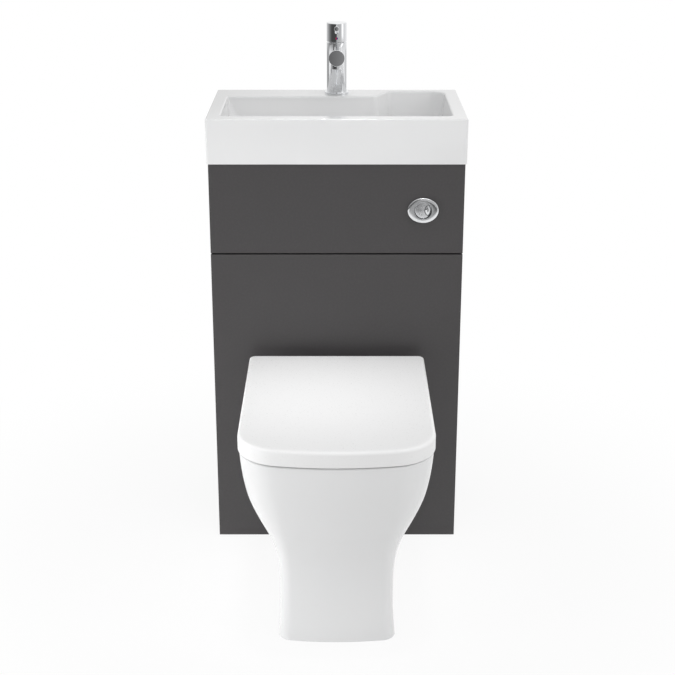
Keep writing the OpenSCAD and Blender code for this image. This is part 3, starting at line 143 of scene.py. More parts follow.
# %% Sheets
class Sheet:
    def __init__(self, tree):
        self.tree = tree

    def feed(self, socket, value):
        """Links or sets a socket"""
        if isinstance(value, Wire):
            self.tree.links.new(value.socket, socket)
        else:
            socket.default_value = value

    def node(self, kind, settings=None, inputs=None, output=0):
        made = self.tree.nodes.new(kind)
        for name, value in (settings or {}).items():
            setattr(made, name, value)
        for name, value in (inputs or {}).items():
            if isinstance(name, str):
                name = next(i for i, s in enumerate(made.inputs) if s.name == name and s.enabled)
            self.feed(made.inputs[name], value)
        return Wire(self, made.outputs[output]) if made.outputs else made

    def place(self):
        """The object's own coordinates"""
        return self.node("ShaderNodeTexCoord", output="Object")

    def axes(self, vector):
        """The x, y and z of a vector, as three wires"""
        parts = self.node("ShaderNodeSeparateXYZ", {}, {"Vector": vector})
        return [Wire(self, part) for part in parts.socket.node.outputs]

    def vector(self, operation, first, second, output="Value"):
        return self.node("ShaderNodeVectorMath", {"operation": operation}, {0: first, 1: second}, output)

    def mix(self, share, first, second):
        inputs = {0: share, 6: first, 7: second}
        return self.node("ShaderNodeMix", {"data_type": "RGBA"}, inputs, 2)

    def noise(self, place, scale, detail=2.0):
        return self.node("ShaderNodeTexNoise", {}, {"Vector": place, "Scale": scale, "Detail": detail})

    def bump(self, height, strength, distance):
        inputs = {"Height": height, "Strength": strength, "Distance": distance}
        return self.node("ShaderNodeBump", {}, inputs)


print("names on a sheet:", [name for name in vars(Sheet) if not name.startswith("_")])

# %% [markdown]
# ## One way to write a finish
# Every finish here is a Principled shader. What is the same all over goes straight on
# its socket. What varies, such as a faint mottle in a glaze, comes from a small painter
# function that gets the sheet and the object's own coordinates. Those move with the
# piece, so a pattern never slides when a lid opens.

# %% A finish
finishes = {}


def finish(slot, colour, roughness, metallic=0.0, coat=0.0, painter=None):
    material = bpy.data.materials.new(slot)
    material.use_nodes = True
    sheet = Sheet(material.node_tree)
    shader = material.node_tree.nodes["Principled BSDF"]
    shader.inputs["Coat Weight"].default_value = coat
    shader.inputs["Coat Roughness"].default_value = 0.04
    varied = {"Base Color": (*colour, 1.0), "Roughness": roughness, "Metallic": metallic}
    if painter:
        varied.update(painter(sheet, sheet.place()))
    for name, value in varied.items():
        sheet.feed(shader.inputs[name], value)
    finishes[slot] = material
    return shader


print("finishes so far:", len(finishes))

# %% [markdown]
# ## Glaze, laminate and plated metal
# Basin and pan carry clear glaze over white clay: a white base under a hard coat, with a
# very slow ripple from the firing. The cabinet's boards have a dark grey melamine skin,
# satin, with a fine pressed grain. The tap and button are chrome plate, a mirror with the
# faintest bloom; the button is touched all day, so it is a little duller, and its plate
# keeps the fine rings of the lathe. The seat is moulded plastic.

# %% The finishes in view
button_x, button_z, lens_aside = 167.4, 709.6, 16.8
plate_reach, lens_reach, satin_reach = 0.0161, 0.0134, 0.0315
ring_turn, ring_depth = 10500, 0.000007


def glaze(sheet, place):
    ripple = sheet.noise(place, 22.0, 1.0)
    cloud = sheet.noise(place, 5.0)
    return {
        "Base Color": sheet.mix(cloud, (0.83, 0.835, 0.84, 1), (0.865, 0.865, 0.865, 1)),
        "Roughness": cloud.ramp(0.3, 0.7, 0.07, 0.1),
        "Normal": sheet.bump(ripple, 0.03, 0.0012),
    }


def laminate(sheet, place):
    grain = sheet.noise(place, 900.0, 3.0)
    patch = sheet.noise(place, 4.0, 3.0)
    fleck = sheet.noise(place, 240.0).ramp(0.35, 0.75)
    tone = sheet.mix(patch, (0.053, 0.0500, 0.0515, 1), (0.0585, 0.055, 0.0565, 1))
    return {
        "Base Color": sheet.mix(fleck * 0.35, tone, (0.07, 0.066, 0.067, 1)),
        "Roughness": grain.ramp(0.3, 0.7, 0.4, 0.5),
        "Normal": sheet.bump(grain, 0.12, 0.0002),
    }


def plate(sheet, place):
    """Chrome, with lathe rings on the flush button and a satin zone about it"""
    bloom = sheet.noise(place, 60.0, 3.0)
    facing = sheet.vector("MULTIPLY", place, (1, 0, 1), "Vector")
    away, aside = (sheet.vector("DISTANCE", facing, ((button_x + x) * 0.001, 0.0, button_z * 0.001))
                   for x in (0, lens_aside))
    rings = (away * ring_turn).sum("SINE") * (1 - away.over(plate_reach)) * aside.over(lens_reach)
    return {
        "Base Color": sheet.mix(bloom, (0.78, 0.79, 0.81, 1), (0.82, 0.83, 0.84, 1)),
        "Roughness": bloom.ramp(0.35, 0.7, 0.03, 0.06) + (1 - away.over(satin_reach)) * 0.085,
        "Normal": sheet.bump(rings, 1.0, ring_depth),
    }


def moulded(sheet, place):
    fine = sheet.noise(place, 300.0)
    return {
        "Roughness": fine * 0.04 + 0.26,
        "Normal": sheet.bump(fine, 0.02, 0.0001),
    }


finish("ceramic", (0.85, 0.85, 0.85), 0.08, coat=0.4, painter=glaze)
finish("cabinet_board", (0.075, 0.07, 0.068), 0.45, painter=laminate)
finish("chrome", (0.8, 0.81, 0.83), 0.04, metallic=1.0, painter=plate)
shader = finish("seat_plastic", (0.92, 0.92, 0.92), 0.28, painter=moulded)
shader.inputs["Specular IOR Level"].default_value = 0.3
print("in view:", sorted(finishes))

# %% [markdown]
# ## The plain finishes behind
# From behind, the cabinet is open and its fittings show: a moulded cistern, grey waste
# pipe, brass valves, plated screws and rubber. Each is one call to the same painter,
# because moulded plastic and cut metal differ mostly in how cloudy and rough they are.

# %% The finishes behind
def shade(colour, times):
    return tuple(min(1.0, c * times) for c in colour) + (1.0,)


def mottled(colour, roughness, spread, scale, relief):
    """A painter: cloudy changes of tone and gloss, over a fine relief"""
    def paint(sheet, place):
        cloud = sheet.noise(place, scale, 3.0)
        fine = sheet.noise(place, scale * 25)
        gloss = cloud.ramp(0.3, 0.7, roughness * 0.85, roughness * 1.15)
        return {
            "Base Color": sheet.mix(cloud, shade(colour, 1 - spread), shade(colour, 1 + spread)),
            "Roughness": gloss + fine * 0.02 - 0.01,
            "Normal": sheet.bump(fine, relief, 0.0001),
        }
    return paint


plain = {
    # slot: colour, roughness, metallic, spread, cloud scale, relief
    "carcass_board": ((0.3, 0.29, 0.28), 0.55, 0, 0.05, 30, 0.1),
    "white_plastic": ((0.8, 0.8, 0.79), 0.3, 0, 0.02, 12, 0.05),
    "black_plastic": ((0.028, 0.028, 0.03), 0.4, 0, 0.1, 20, 0.15),
    "cartridge_plastic": ((0.74, 0.72, 0.66), 0.4, 0, 0.03, 30, 0.08),
    "cistern_plastic": ((0.76, 0.77, 0.77), 0.38, 0, 0.02, 10, 0.12),
    "float_plastic": ((0.32, 0.52, 0.67), 0.4, 0, 0.04, 15, 0.1),
    "seal_rubber": ((0.42, 0.07, 0.05), 0.6, 0, 0.06, 40, 0.1),
    "black_rubber": ((0.03, 0.03, 0.03), 0.65, 0, 0.15, 40, 0.2),
    "buffer_rubber": ((0.78, 0.78, 0.78), 0.5, 0, 0.03, 40, 0.1),
    "air_hose": ((0.68, 0.7, 0.72), 0.25, 0, 0.03, 30, 0.03),
    "steel": ((0.6, 0.6, 0.6), 0.34, 1, 0.12, 45, 0.08),
    "brass": ((0.72, 0.52, 0.22), 0.26, 1, 0.1, 50, 0.06),
}
for slot, (tone, gloss, metal, spread, scale, relief) in plain.items():
    finish(slot, tone, gloss, metal, painter=mottled(tone, gloss, spread, scale, relief))
print("behind:", len(plain))

# %% [markdown]
# ## Mark, mesh and braid
# The temperature mark is a dot of enamel, red on the hot side and blue on the cold, so its
# colour follows from the side of the tap's middle. The aerator's insert is a fine mesh of
# bright wires, and its openings are painted near black as painted shade for the holes. The
# hoses' steel braid follows the hose, not the room, so it reads what the hose itself will carry: turns
# around it and length along it.

# %% The patterned finishes
strands, strands_per_metre = 12, 190


def enamel(sheet, place):
    side = sheet.axes(place)[0].over(0.0)
    return {"Base Color": sheet.mix(side, (0.5, 0.012, 0.09, 1), (0.02, 0.03, 0.2, 1))}


def mesh_with_shaded_openings(sheet, place):
    cells = sheet.node("ShaderNodeTexVoronoi", {"feature": "DISTANCE_TO_EDGE"},
                       {"Vector": place, "Scale": 900.0})
    wire = 1 - cells.ramp(0.08, 0.2)
    return {
        # The openings between the wires are painted near black: painted shade for the dark holes of the
        # mesh.
        "Base Color": sheet.mix(wire, (0.05, 0.05, 0.055, 1), (0.6, 0.61, 0.63, 1)),
        "Roughness": wire * -0.2 + 0.5,
        "Normal": sheet.bump(wire, 0.5, 0.0003),
    }


def braid(sheet, place):
    stored = sheet.node("ShaderNodeAttribute", {"attribute_name": "braid"}, output="Vector")
    around, along = sheet.axes(stored)[:2]
    one = (around * strands + along * strands_per_metre).sum("PINGPONG", 1.0)
    other = (around * strands - along * strands_per_metre).sum("PINGPONG", 1.0)
    weave = one.sum("MAXIMUM", other)
    return {
        "Base Color": sheet.mix(weave.ramp(0.45, 0.95), (0.2, 0.2, 0.21, 1), (0.68, 0.69, 0.71, 1)),
        "Roughness": weave * -0.15 + 0.42,
        "Normal": sheet.bump(weave, 0.6, 0.0004),
    }


finish("mark", (0.5, 0.02, 0.1), 0.2, painter=enamel)
finish("aerator_steel", (0.5, 0.5, 0.52), 0.35, metallic=1.0, painter=mesh_with_shaded_openings)
finish("braided_hose", (0.6, 0.61, 0.63), 0.4, metallic=1.0, painter=braid)
slot_of = {part["node"]: part["material_slot"] for part in frame["record"]["subparts"]}
for name, thing in nodes.items():
    for place in thing.material_slots:
        place.material = finishes[slot_of[name]]
print("finished nodes:", len(slot_of), "finishes:", len(finishes))

# %% [markdown]
# ## A pale floor and a white room
# A bathroom fitting is shown in a white studio. The floor is pale and matt, so it takes a
# soft shadow at the foot; further out it is simply white to the eye. The world gives an
# even grey light, and is white where the eye or a mirror looks straight at it.

# %% Floor and world
reach, world_level = 30.0, 0.6


def bare(owner):
    """A sheet on which a material or a world is drawn from nothing"""
    owner.use_nodes = True
    owner.node_tree.nodes.clear()
    return Sheet(owner.node_tree)


def looked_at(sheet):
    """1 for rays from the eye, a mirror or glass, 0 for rays that gather light"""
    rays = sheet.node("ShaderNodeLightPath").socket.node.outputs
    camera, glossy, clear = (Wire(sheet, rays["Is " + kind + " Ray"])
                             for kind in ("Camera", "Glossy", "Transmission"))
    return (camera + glossy + clear).sum("MINIMUM", 1.0)


def stage_piece(name, points, faces, material):
    mesh = bpy.data.meshes.new(name)
    mesh.from_pydata(points, [], faces)
    mesh.materials.append(material)
    thing = placed(name, mesh)
    return thing


def rectangle(x0, x1, y0, y1):
    return [(x0, y0), (x1, y0), (x1, y1), (x0, y1)]


def flat(points, z):
    """A flat outline, lifted to a height"""
    return [(x, y, z) for x, y in points]


floor_finish = bpy.data.materials.new("floor")
sheet = bare(floor_finish)
away = sheet.node("ShaderNodeVectorMath", {"operation": "LENGTH"}, {0: sheet.place()}, "Value")
matt = sheet.node("ShaderNodeBsdfDiffuse", {}, {"Color": (0.86, 0.86, 0.86, 1)})
white = sheet.node("ShaderNodeEmission", {}, {"Color": (1, 1, 1, 1), "Strength": 1.0})
share = looked_at(sheet) * away.ramp(0.35, 1.2, 0.9, 1.0)
mixed = sheet.node("ShaderNodeMixShader", {}, {0: share, 1: matt, 2: white})
sheet.node("ShaderNodeOutputMaterial", {}, {"Surface": mixed})
stage_piece("floor", flat(rectangle(-reach, reach, -reach, reach), 0), [(0, 1, 2, 3)], floor_finish)

world = bpy.data.worlds.new("studio")
scene.world = world
sheet = bare(world)
level = looked_at(sheet) * (1 - world_level) + world_level
sky = sheet.node("ShaderNodeBackground", {}, {"Color": (1, 1, 1, 1), "Strength": level})
sheet.node("ShaderNodeOutputWorld", {}, {"Surface": sky})
print("world level", world_level, "and floor reach", reach, "m")

# %% [markdown]
# ## Four soft lamps
# A broad lamp overhead lights the rim, the lid and every front. A strip close to the floor
# on the left models the pan's round flank from light to grey. A tall lamp at the right
# reaches into the basin, and a narrow beam from above keeps the lid lighter than the rest.
# Strip and tall lamp are hidden from mirrors: the chrome gets its own picture below.

# %% Lamps
def lamp(name, place, aim, width, height, watts):
    light = bpy.data.lights.new(name, "AREA")
    light.shape = "RECTANGLE"
    light.size = width
    light.size_y = height
    light.energy = watts
    thing = placed(name, light)
    thing.location = place
    thing.rotation_euler = (Vector(aim) - Vector(place)).to_track_quat("-Z", "Y").to_euler()
    return thing


lamp("top", (0.45, -1.5, 3.1), (0, -0.15, 0.4), 2.6, 1.8, 14.7)
strip = lamp("strip", (-1.55, -0.6, 0.27), (0, 0, 0.2), 0.3, 0.5, 9.9)
fill = lamp("fill", (2.45, -1.3, 1.85), (0.1, 0, 0.95), 0.7, 1.6, 12.6)
strip.visible_glossy = fill.visible_glossy = False
beam = lamp("lid_beam", (0, -0.45, 3.2), (-0.06, -0.12, 0.42), 0.5, 0.4, 0.34)
beam.data.spread = math.radians(15)

# %% [markdown]
# ## What the chrome sees
# Chrome shows the room, so in a white one it would vanish. A photographer hangs a curved
# backdrop around it. From white behind it darkens to near black at the front left, then
# steps up to pale grey on the right. A bright slit stands at the right, broken at mid
# height, and two dark strips low down at the sides draw the outline of the tap. A round
# tap turns all that into upright bands. Only mirrors see it: it casts no shadow.

# %% Backdrop for mirrors
span, centre_y, low_edge, high_edge = 4.0, 0.3, -0.5, 4.2


def glowing(name, draw):
    """A material that glows with the grey that a function draws"""
    material = bpy.data.materials.new(name)
    sheet = bare(material)
    tone = draw(*sheet.axes(sheet.place()))
    grey = sheet.node("ShaderNodeCombineColor", {}, {0: tone, 1: tone, 2: tone})
    cover = sheet.node("ShaderNodeEmission", {}, {"Color": grey, "Strength": 1.0})
    sheet.node("ShaderNodeOutputMaterial", {}, {"Surface": cover})
    return material


def mirrors_only(thing):
    for kind in ("camera", "diffuse", "transmission", "volume_scatter", "shadow"):
        setattr(thing, "visible_" + kind, False)


def band(turn, rise, fall, width):
    """1 between two angles, with soft edges of that width"""
    return turn.ramp(rise, rise + width) - turn.ramp(fall, fall + width)


def cloth(across, deep, tall):
    turn = across.sum("ARCTAN2", centre_y - deep) * (180 / math.pi)
    left = turn.ramp(-175, -50, 0.8, 0.07) + turn.ramp(-180, -170, 0.2, 0.0)
    right = turn.ramp(-4, 7, 0.0, 0.45) + turn.ramp(7, 165, 0.0, 0.48)
    front_left = turn.ramp(-160, -130) - turn.ramp(-12, -4)
    slit = band(turn, 56, 82, 4) * (tall.ramp(0.4, 0.44) + 1 - tall.ramp(0.26, 0.29))
    lowest = 1 - tall.ramp(0.36, 0.4)
    edges = band(turn, -146, -124, 8) * 0.3 + band(turn, 122, 140, 6) * 0.5
    return left + right + tall.ramp(0.5, 0.9, 0.0, 0.3) * front_left + slit * 0.6 - edges * lowest


turns = [math.radians(a) for a in range(0, 360, 5)]
low = [(span * math.sin(a), centre_y - span * math.cos(a), low_edge) for a in turns]
high = [(x, y, high_edge) for x, y, z in low]
count = len(turns)
quads = [(i, (i + 1) % count, (i + 1) % count + count, i + count) for i in range(count)]
mirrors_only(stage_piece("backdrop", low + high, quads, glowing("backdrop", cloth)))
print("backdrop", span, "m away, dark at the front left and white behind")

# %% [markdown]
# ## A card on the floor
# The flush button faces the viewer, so it shows the floor some way in front. A grey card
# lies there, black towards its right end, and its near side brightens like the floor
# before it. It gives the plate its grey, its light lower part and the dark spot beside it.

# %% Floor card
card_left, card_right, card_far, card_near, card_z = -0.6, 1.5, -3.8, -1.75, 0.004


def paper(across, deep, tall):
    grey = across.ramp(0.36, 0.46, 0.36, 0.0) + across.ramp(1.2, 1.4, 0.0, 0.2)
    return grey + (0.9 - grey) * deep.ramp(-2.5, -1.8)


corners = flat(rectangle(card_left, card_right, card_far, card_near), card_z)
mirrors_only(stage_piece("card", corners, [(0, 1, 2, 3)], glowing("card", paper)))
print("card from", card_left, "to", card_right, "m")

# %% [markdown]
# ## From modifiers to a plain mesh
# Bevels and cuts are made with modifiers and kept as a plain mesh. Its doubles are merged,
# its faces are turned outwards, and edges sharper than 35 degrees stay crisp. Large faces
# lead the normals, so that flat plated ones mirror flat.

# %% Plain meshes
def finished_mesh(thing, name):
    """The thing with its modifiers, as a plain mesh of that name"""
    bpy.context.view_layer.update()
    mesh = bpy.data.meshes.new_from_object(thing.evaluated_get(bpy.context.evaluated_depsgraph_get()))
    bpy.data.objects.remove(thing)
    mesh.name = name
    return placed(name, mesh)


def creased(mesh, crease):
    mesh.polygons.foreach_set("use_smooth", [True] * len(mesh.polygons))
    mesh.set_sharp_from_angle(angle=math.radians(crease))


def smooth(mesh, crease=35):
    shape = bmesh.new()
    shape.from_mesh(mesh)
    bmesh.ops.remove_doubles(shape, verts=shape.verts, dist=2e-6)
    bmesh.ops.recalc_face_normals(shape, faces=shape.faces)
    shape.to_mesh(mesh)
    shape.free()
    creased(mesh, crease)


def levelled(thing):
    """The thing with normals that follow its larger faces"""
    thing.modifiers.new("flat faces first", "WEIGHTED_NORMAL").keep_sharp = True
    return finished_mesh(thing, thing.name)


print("helpers for meshes:", [f.__name__ for f in (finished_mesh, creased, smooth, levelled)])

# %% [markdown]
# ## Making a mesh from rings
# Cast, turned and moulded pieces are all stacks of rings: a plan, moved and shrunk a
# little at each height. A `Form` collects such rings in millimetres and joins them.
# Flat faces with holes are filled by a triangulation that knows about holes.

# %% Forms
class Form:
    def __init__(self):
        self.points = []
        self.faces = []

    def ring(self, points):
        first = len(self.points)
        self.points += [tuple(p) for p in points]
        return list(range(first, len(self.points)))

    def bridge(self, a, b):
        for i in range(len(a)):
            j = (i + 1) % len(a)
            self.faces.append((a[i], a[j], b[j], b[i]))

    def loft(self, rings, looped=False, capped=False):
        made = [self.ring(points) for points in rings]
        for a, b in zip(made, made[1:]):
            self.bridge(a, b)
        if looped:
            self.bridge(made[-1], made[0])
        if capped:
            self.faces += [tuple(made[0]), tuple(made[-1])]
        return made

    def fill(self, *loops):
        index = [i for loop in loops for i in loop]
        corners = [[Vector(self.points[i]) for i in loop] for loop in loops]
        self.faces += [tuple(index[i] for i in face) for face in geometry.tessellate_polygon(corners)]

    def thing(self, name, crease=35):
        mesh = bpy.data.meshes.new(name)
        mesh.from_pydata([Vector(p) * 0.001 for p in self.points], [], self.faces)
        smooth(mesh, crease)
        return levelled(placed(name, mesh))


print("a form can", [name for name in vars(Form) if not name.startswith("_")])

# %% [markdown]
# ## Handing a piece in
# A dressed piece stands for the bare one of the frame. It takes that one's body, so that
# it moves with it, and its finish. The aerator's insert has no bare piece of its own and
# is told both.

# %% Settling
def settle(thing, node=None, body=None, slot=None):
    """Gives a finished piece its material and its body, and the node that it stands for"""
    body = body or nodes[node]["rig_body"]
    slot = slot or slot_of[node]
    thing.data.materials.clear()
    thing.data.materials.append(finishes[slot])
    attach(thing, body)
    if node:
        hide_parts(node)
    print(thing.name, len(thing.data.polygons), "faces on", body)
    return thing


# %% [markdown]
# ## Rounding a drawn outline
# No real edge is perfectly sharp: glaze pools, plastic is moulded with a radius, and a
# sawn board is broken with a plane. Every outline and profile here is drawn with plain
# corners, and one function swaps each corner for an arc of its own radius.

# %% Rounded outlines
def sweep(start, end, steps):
    """Evenly spaced values from start to end, both included"""
    return [start + (end - start) * i / steps for i in range(steps + 1)]


def arc_at(a, b, c, radius, steps):
    """Points of the arc that rounds the corner at b, between a and c"""
    a, b, c = Vector(a), Vector(b), Vector(c)
    u = (a - b).normalized()
    v = (c - b).normalized()
    half = u.angle(v) / 2
    if radius <= 0 or half > 1.55:
        return [b]
    middle = b + (u + v).normalized() * radius / math.sin(half)
    first = b + u * radius / math.tan(half) - middle
    last = b + v * radius / math.tan(half) - middle
    start = math.atan2(first.y, first.x)
    turn = (math.atan2(last.y, last.x) - start + math.pi) % math.tau - math.pi
    return [middle + radius * Vector((math.cos(angle), math.sin(angle)))
            for angle in sweep(start, start + turn, steps)]


def rounded(corners, radii, steps=6, closed=True):
    """An outline with its corners rounded; an open one keeps its two ends"""
    if not isinstance(radii, (list, tuple)):
        radii = [radii] * len(corners)
    points = []
    for i, corner in enumerate(corners):
        if not closed and i in (0, len(corners) - 1):
            points.append(Vector(corner))
        else:
            following = corners[(i + 1) % len(corners)]
            points += arc_at(corners[i - 1], corner, following, radii[i], steps)
    return points


print("a rounded square has", len(rounded(rectangle(0, 10, 0, 10), 2)), "points")

# %% [markdown]
# ## Circles and fillets
# Holes, pipes and turned pieces need whole circles, and the inside edges of a casting
# need quarter circles. Both are points on a circle, at the angles that are asked for.

# %% Circles and fillets
def around(x, y, radius, angles):
    return [(x + radius * math.cos(a), y + radius * math.sin(a)) for a in angles]


def circle(x, y, radius, steps=64):
    return around(x, y, radius, sweep(0, math.tau, steps)[:-1])


def fillet(inset, z, radius, start, end, steps=6):
    """(inset, height) pairs along a fillet about (inset, z), between two angles in degrees"""
    return around(inset, z, radius, [math.radians(a) for a in sweep(start, end, steps)])


print("a fillet starts and ends at", [(round(x, 2), round(z, 2)) for x, z in fillet(0, 0, 3, 180, 90)[::6]])

# %% [markdown]
# ## Boards with broken edges
# The cabinet is made of 16 mm boards whose edge bands are scraped to a radius of about
# half a millimetre. Their shape in the frame is right, so a copy is cleaned of its inner
# triangles and bevelled, and kept inside the piece's own box. The same suits every
# machined or moulded fitting: a small bevel is what catches the light on a real one.

# %% Eased copies
def eased(node, width):
    """A copy of a frame node with softened edges, which stands for it"""
    shape = bmesh.new()
    shape.from_mesh(nodes[node].data)
    bmesh.ops.remove_doubles(shape, verts=shape.verts, dist=2e-6)
    bmesh.ops.dissolve_limit(shape, angle_limit=math.radians(1), verts=shape.verts, edges=shape.edges)
    mesh = bpy.data.meshes.new(node)
    shape.to_mesh(mesh)
    shape.free()
    thing = placed(node, mesh)
    bevel = thing.modifiers.new("edge", "BEVEL")
    bevel.width = width
    bevel.segments = 2
    bevel.limit_method = "ANGLE"
    bevel.angle_limit = math.radians(40)
    thing = finished_mesh(thing, node + "_eased")
    low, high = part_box(node)
    for vertex in thing.data.vertices:
        vertex.co = [min(max(c, a), b) for c, a, b in zip(vertex.co, low, high)]
    creased(thing.data, 50)
    return settle(levelled(thing), node)


for node in ("left_side_panel", "right_side_panel", "front_lower_panel", "front_upper_panel",
             "front_rails", "back_rails", "cistern_shelf"):
    eased(node, 0.0007)

# %% [markdown]
# ## The basin
# A ceramic basin is slip-cast in one piece: a flat front, a rim a finger wide, a long well
# and a flat ledge at the back for the tap. At the right the well runs deeper, to the back
# rim. It is drawn as the outside and the well's plan, which shrinks with depth. Its left
# back corner is crisp at the rim and opens into a wide curve further down.

# %% Basin sizes
wall_y, front_y = 398.5, 91.5
basin_half, basin_front = 250.0, 88.5
basin_low, basin_top, well_floor, pocket_top = 800.0, 888.0, 816.0, 874.0
waste_y, tap_y = 219.5, 359.5


def basin_plan(inset):
    x = basin_half - inset
    return rounded(rectangle(-x, x, basin_front + inset, wall_y - inset), max(4 - inset, 0.8), 5)


def well_plan(inset):
    """The well's outline, so far in from where its wall meets the rim"""
    x, front = 223 - inset, 118.5 + inset
    back, ledge = 378.5 - inset, 320.5 - inset
    lean = (math.hypot(27, 58) - 27) / 58 * inset
    corners = [(-x, front), (x, front), (x, back), (108 + lean, back), (81 + lean, ledge), (-x, ledge)]
    widening = min(max(2 + 4.7 * inset, 2), 32)
    radii = [12 - inset * 0.1, 14 - inset * 0.1, 30 - inset * 0.3, 12 - inset * 0.1, 12 + inset * 0.4]
    return rounded(corners, radii + [widening], 8)


print("well plan:", len(well_plan(0)), "points")

# %% [markdown]
# ## One closed casting
# Two stacks of plans make the skin and the well. Between the rim and the wall of the
# well runs a small fillet, and a bigger one joins the wall to the floor. Holes for tap
# and waste go through, and under the ledge the casting is hollow, so that a hand can
# reach the tap's nut.

# %% Basin
basin = Form()
skin = [(2.0, basin_low)] + fillet(1.5, basin_low + 1.5, 1.5, -90, -180, 3)
skin += fillet(3.0, basin_top - 3.0, 3.0, 180, 90)
outer = basin.loft([flat(basin_plan(inset), z) for inset, z in skin])
rim = fillet(-3.5, basin_top - 3.5, 3.5, 90, 0)
curve = fillet(6.4 + 15, well_floor + 15, 15, 180, 270, 8)
well = basin.loft([flat(well_plan(inset), z) for inset, z in rim + curve])
tap_hole = basin.loft([flat(circle(0, tap_y, 17.5), z) for z in (basin_top, pocket_top)])
waste = basin.loft([flat(circle(0, waste_y, r), z) for r, z in
                    ((23.6, well_floor), (23, well_floor - 0.6), (23, basin_low))])
pocket = rounded(rectangle(-236, 67, 334.5, 384.5), 3, 4)
hollow = basin.loft([flat(pocket, z) for z in (basin_low, pocket_top)])
basin.fill(outer[-1], well[0], tap_hole[0])
basin.fill(well[-1], waste[0])
basin.fill(hollow[-1], tap_hole[-1])
basin.fill(outer[0], hollow[0], waste[-1])
settle(basin.thing("basin_glazed", 50), "basin")

# %% [markdown]
# ## Turned pieces
# Tap, plug, nuts and pipes are turned on a lathe: one profile of radius and height, spun
# round an axis. Spout and lever lean, so a second lathe has an axis that runs forward and
# rises. Where two turned pieces meet, one is cut out of the other or joined to it.

# %% A lathe
def lathe(form, profile, centre, axis="z", steps=96, closed=False):
    """Spins (radius, height) pairs round an axis: z is upright, y points at the wall"""
    lay = {"z": lambda u, v, h: (u, v, h), "y": lambda u, v, h: (u, h, v), "x": lambda u, v, h: (h, u, v)}
    rings = [[lay[axis](u, v, h) for u, v in circle(*centre, radius, steps)] for radius, h in profile]
    form.loft(rings, looped=closed, capped=not closed)


def turned(name, profile, centre, axis="z", steps=96, closed=False):
    """A thing of one such profile"""
    form = Form()
    lathe(form, profile, centre, axis, steps, closed)
    return form.thing(name)


def spindle(form, profile, start, rise, steps=96):
    """Spins (radius, distance) pairs round an axis that runs forward and rises by an angle"""
    out = Vector((0, -math.cos(rise), math.sin(rise)))
    up = Vector((0, math.sin(rise), math.cos(rise)))
    rings = [[Vector(start) + out * h + Vector((u, 0, 0)) + up * v for u, v in circle(0, 0, radius, steps)]
             for radius, h in profile]
    form.loft(rings, capped=True)


def carve(thing, tool, how="DIFFERENCE"):
    """Cuts a tool's shape out of a thing, or joins it on"""
    cut = thing.modifiers.new("carve", "BOOLEAN")
    cut.operation = how
    cut.solver = "EXACT"
    cut.object = tool
    made = finished_mesh(thing, thing.name)
    bpy.data.objects.remove(tool)
    smooth(made.data)
    return levelled(made)


print("a lathe, a leaning lathe and a cutter")

# %% [markdown]
# ## Turned and plated: the tap
# The tap's body and its base ring are one turned piece, and the spout is a round bar
# that rises 11 degrees out of it. The profile's corners are rounded by half a
# millimetre, and that thin band is the bright line seen along every edge of a real tap.
# At the top the profile steps in to a neck: its shadow is the dark joint to the cap.

# %% Tap body
joint_z = 993.3
body = [(0.5, 888.0), (25.0, 888.0), (25.0, 892.0), (20.5, 892.0), (20.5, joint_z - 0.8),
        (18.6, joint_z - 0.8), (18.6, joint_z), (16.05, joint_z), (16.05, 957.3), (0.5, 957.3)]
body = rounded(body, [0, 0.2, 0.8, 0.3, 0.5, 0.2, 0, 0.3, 0, 0], 4, closed=False)
rise, spout_run = math.radians(11), 100
tip = rectangle(0.5, 16.0, 8.0, spout_run / math.cos(rise))
root = (0, tap_y, 975 - spout_run * math.tan(rise))
spout = Form()
spindle(spout, rounded(tip, [0, 0, 0.7, 0], 5, closed=False), root, rise)
tap = carve(turned("tap_body_plated", body, (0, tap_y)), spout.thing("spout"), "UNION")
outlet_y, outlet_low, outlet_r, outlet_h = tap_y - 86, 951.98, 11.5, 13
outlet = rectangle(0.5, outlet_r, outlet_low - 3, outlet_low + outlet_h)
settle(carve(tap, turned("outlet", outlet, (0, outlet_y))), "tap_body")

# %% [markdown]
# ## Cap, pin and mark
# The cap turns the water on by tilting back, so behind the tap's middle its underside is
# cut away at the angle of its travel. A short pin slants out of its front as the lever.
# Between pin and joint sits the small enamel dot, red on the left and blue on the right.

# %% Cap
cap = rounded(rectangle(0.5, 20.5, joint_z + 0.9, 1032.0), [0, 0.5, 1.2, 0], 5, closed=False)
hidden = [(0.5, 985), (17.5, 985), (17.5, joint_z + 14), (0.5, joint_z + 17)]
cap = carve(turned("tap_cap_plated", cap, (0, tap_y)), turned("hidden", hidden, (0, tap_y)))
run, travel = 42.0, math.radians(24)
far = tap_y + run
wedge = Form()
wedge.loft([[(x, tap_y, joint_z), (x, far, joint_z), (x, far, joint_z + run * math.tan(travel))]
            for x in (-30, 30)], capped=True)
settle(carve(cap, wedge.thing("wedge")), "tap_handle")

# %% [markdown]
# ## Lever and mark
# The lever is a plain pin with a softened end. The mark is a disc 5 mm wide that stands
# a tenth of a millimetre proud of the plating.

# %% Pin and mark
pin = Form()
bar = rounded([(5.0, 0.0), (5.0, 45.0), (0.6, 45.0)], [0, 0.8, 0], 4, closed=False)
spindle(pin, bar, (0, tap_y - 15.5, joint_z + 22), math.radians(15), 48)
settle(pin.thing("lever_pin_plated"), "tap_lever_pin")
face = tap_y - 20.5
dot = rounded(rectangle(0.3, 2.5, face + 0.8, face - 0.1), [0, 0, 0.2, 0], 3, closed=False)
settle(turned("mark_enamel", dot, (0, joint_z + 9), "y", 40), "temperature_mark")

# %% [markdown]
# ## Pieces grown by a rule
# Some pieces repeat one small shape by a rule. Geometry Nodes write that rule down: a
# tree with its sizes as named inputs, run once over a guide line and kept as a plain
# mesh. What grew is then merged with the turned pieces it belongs to.

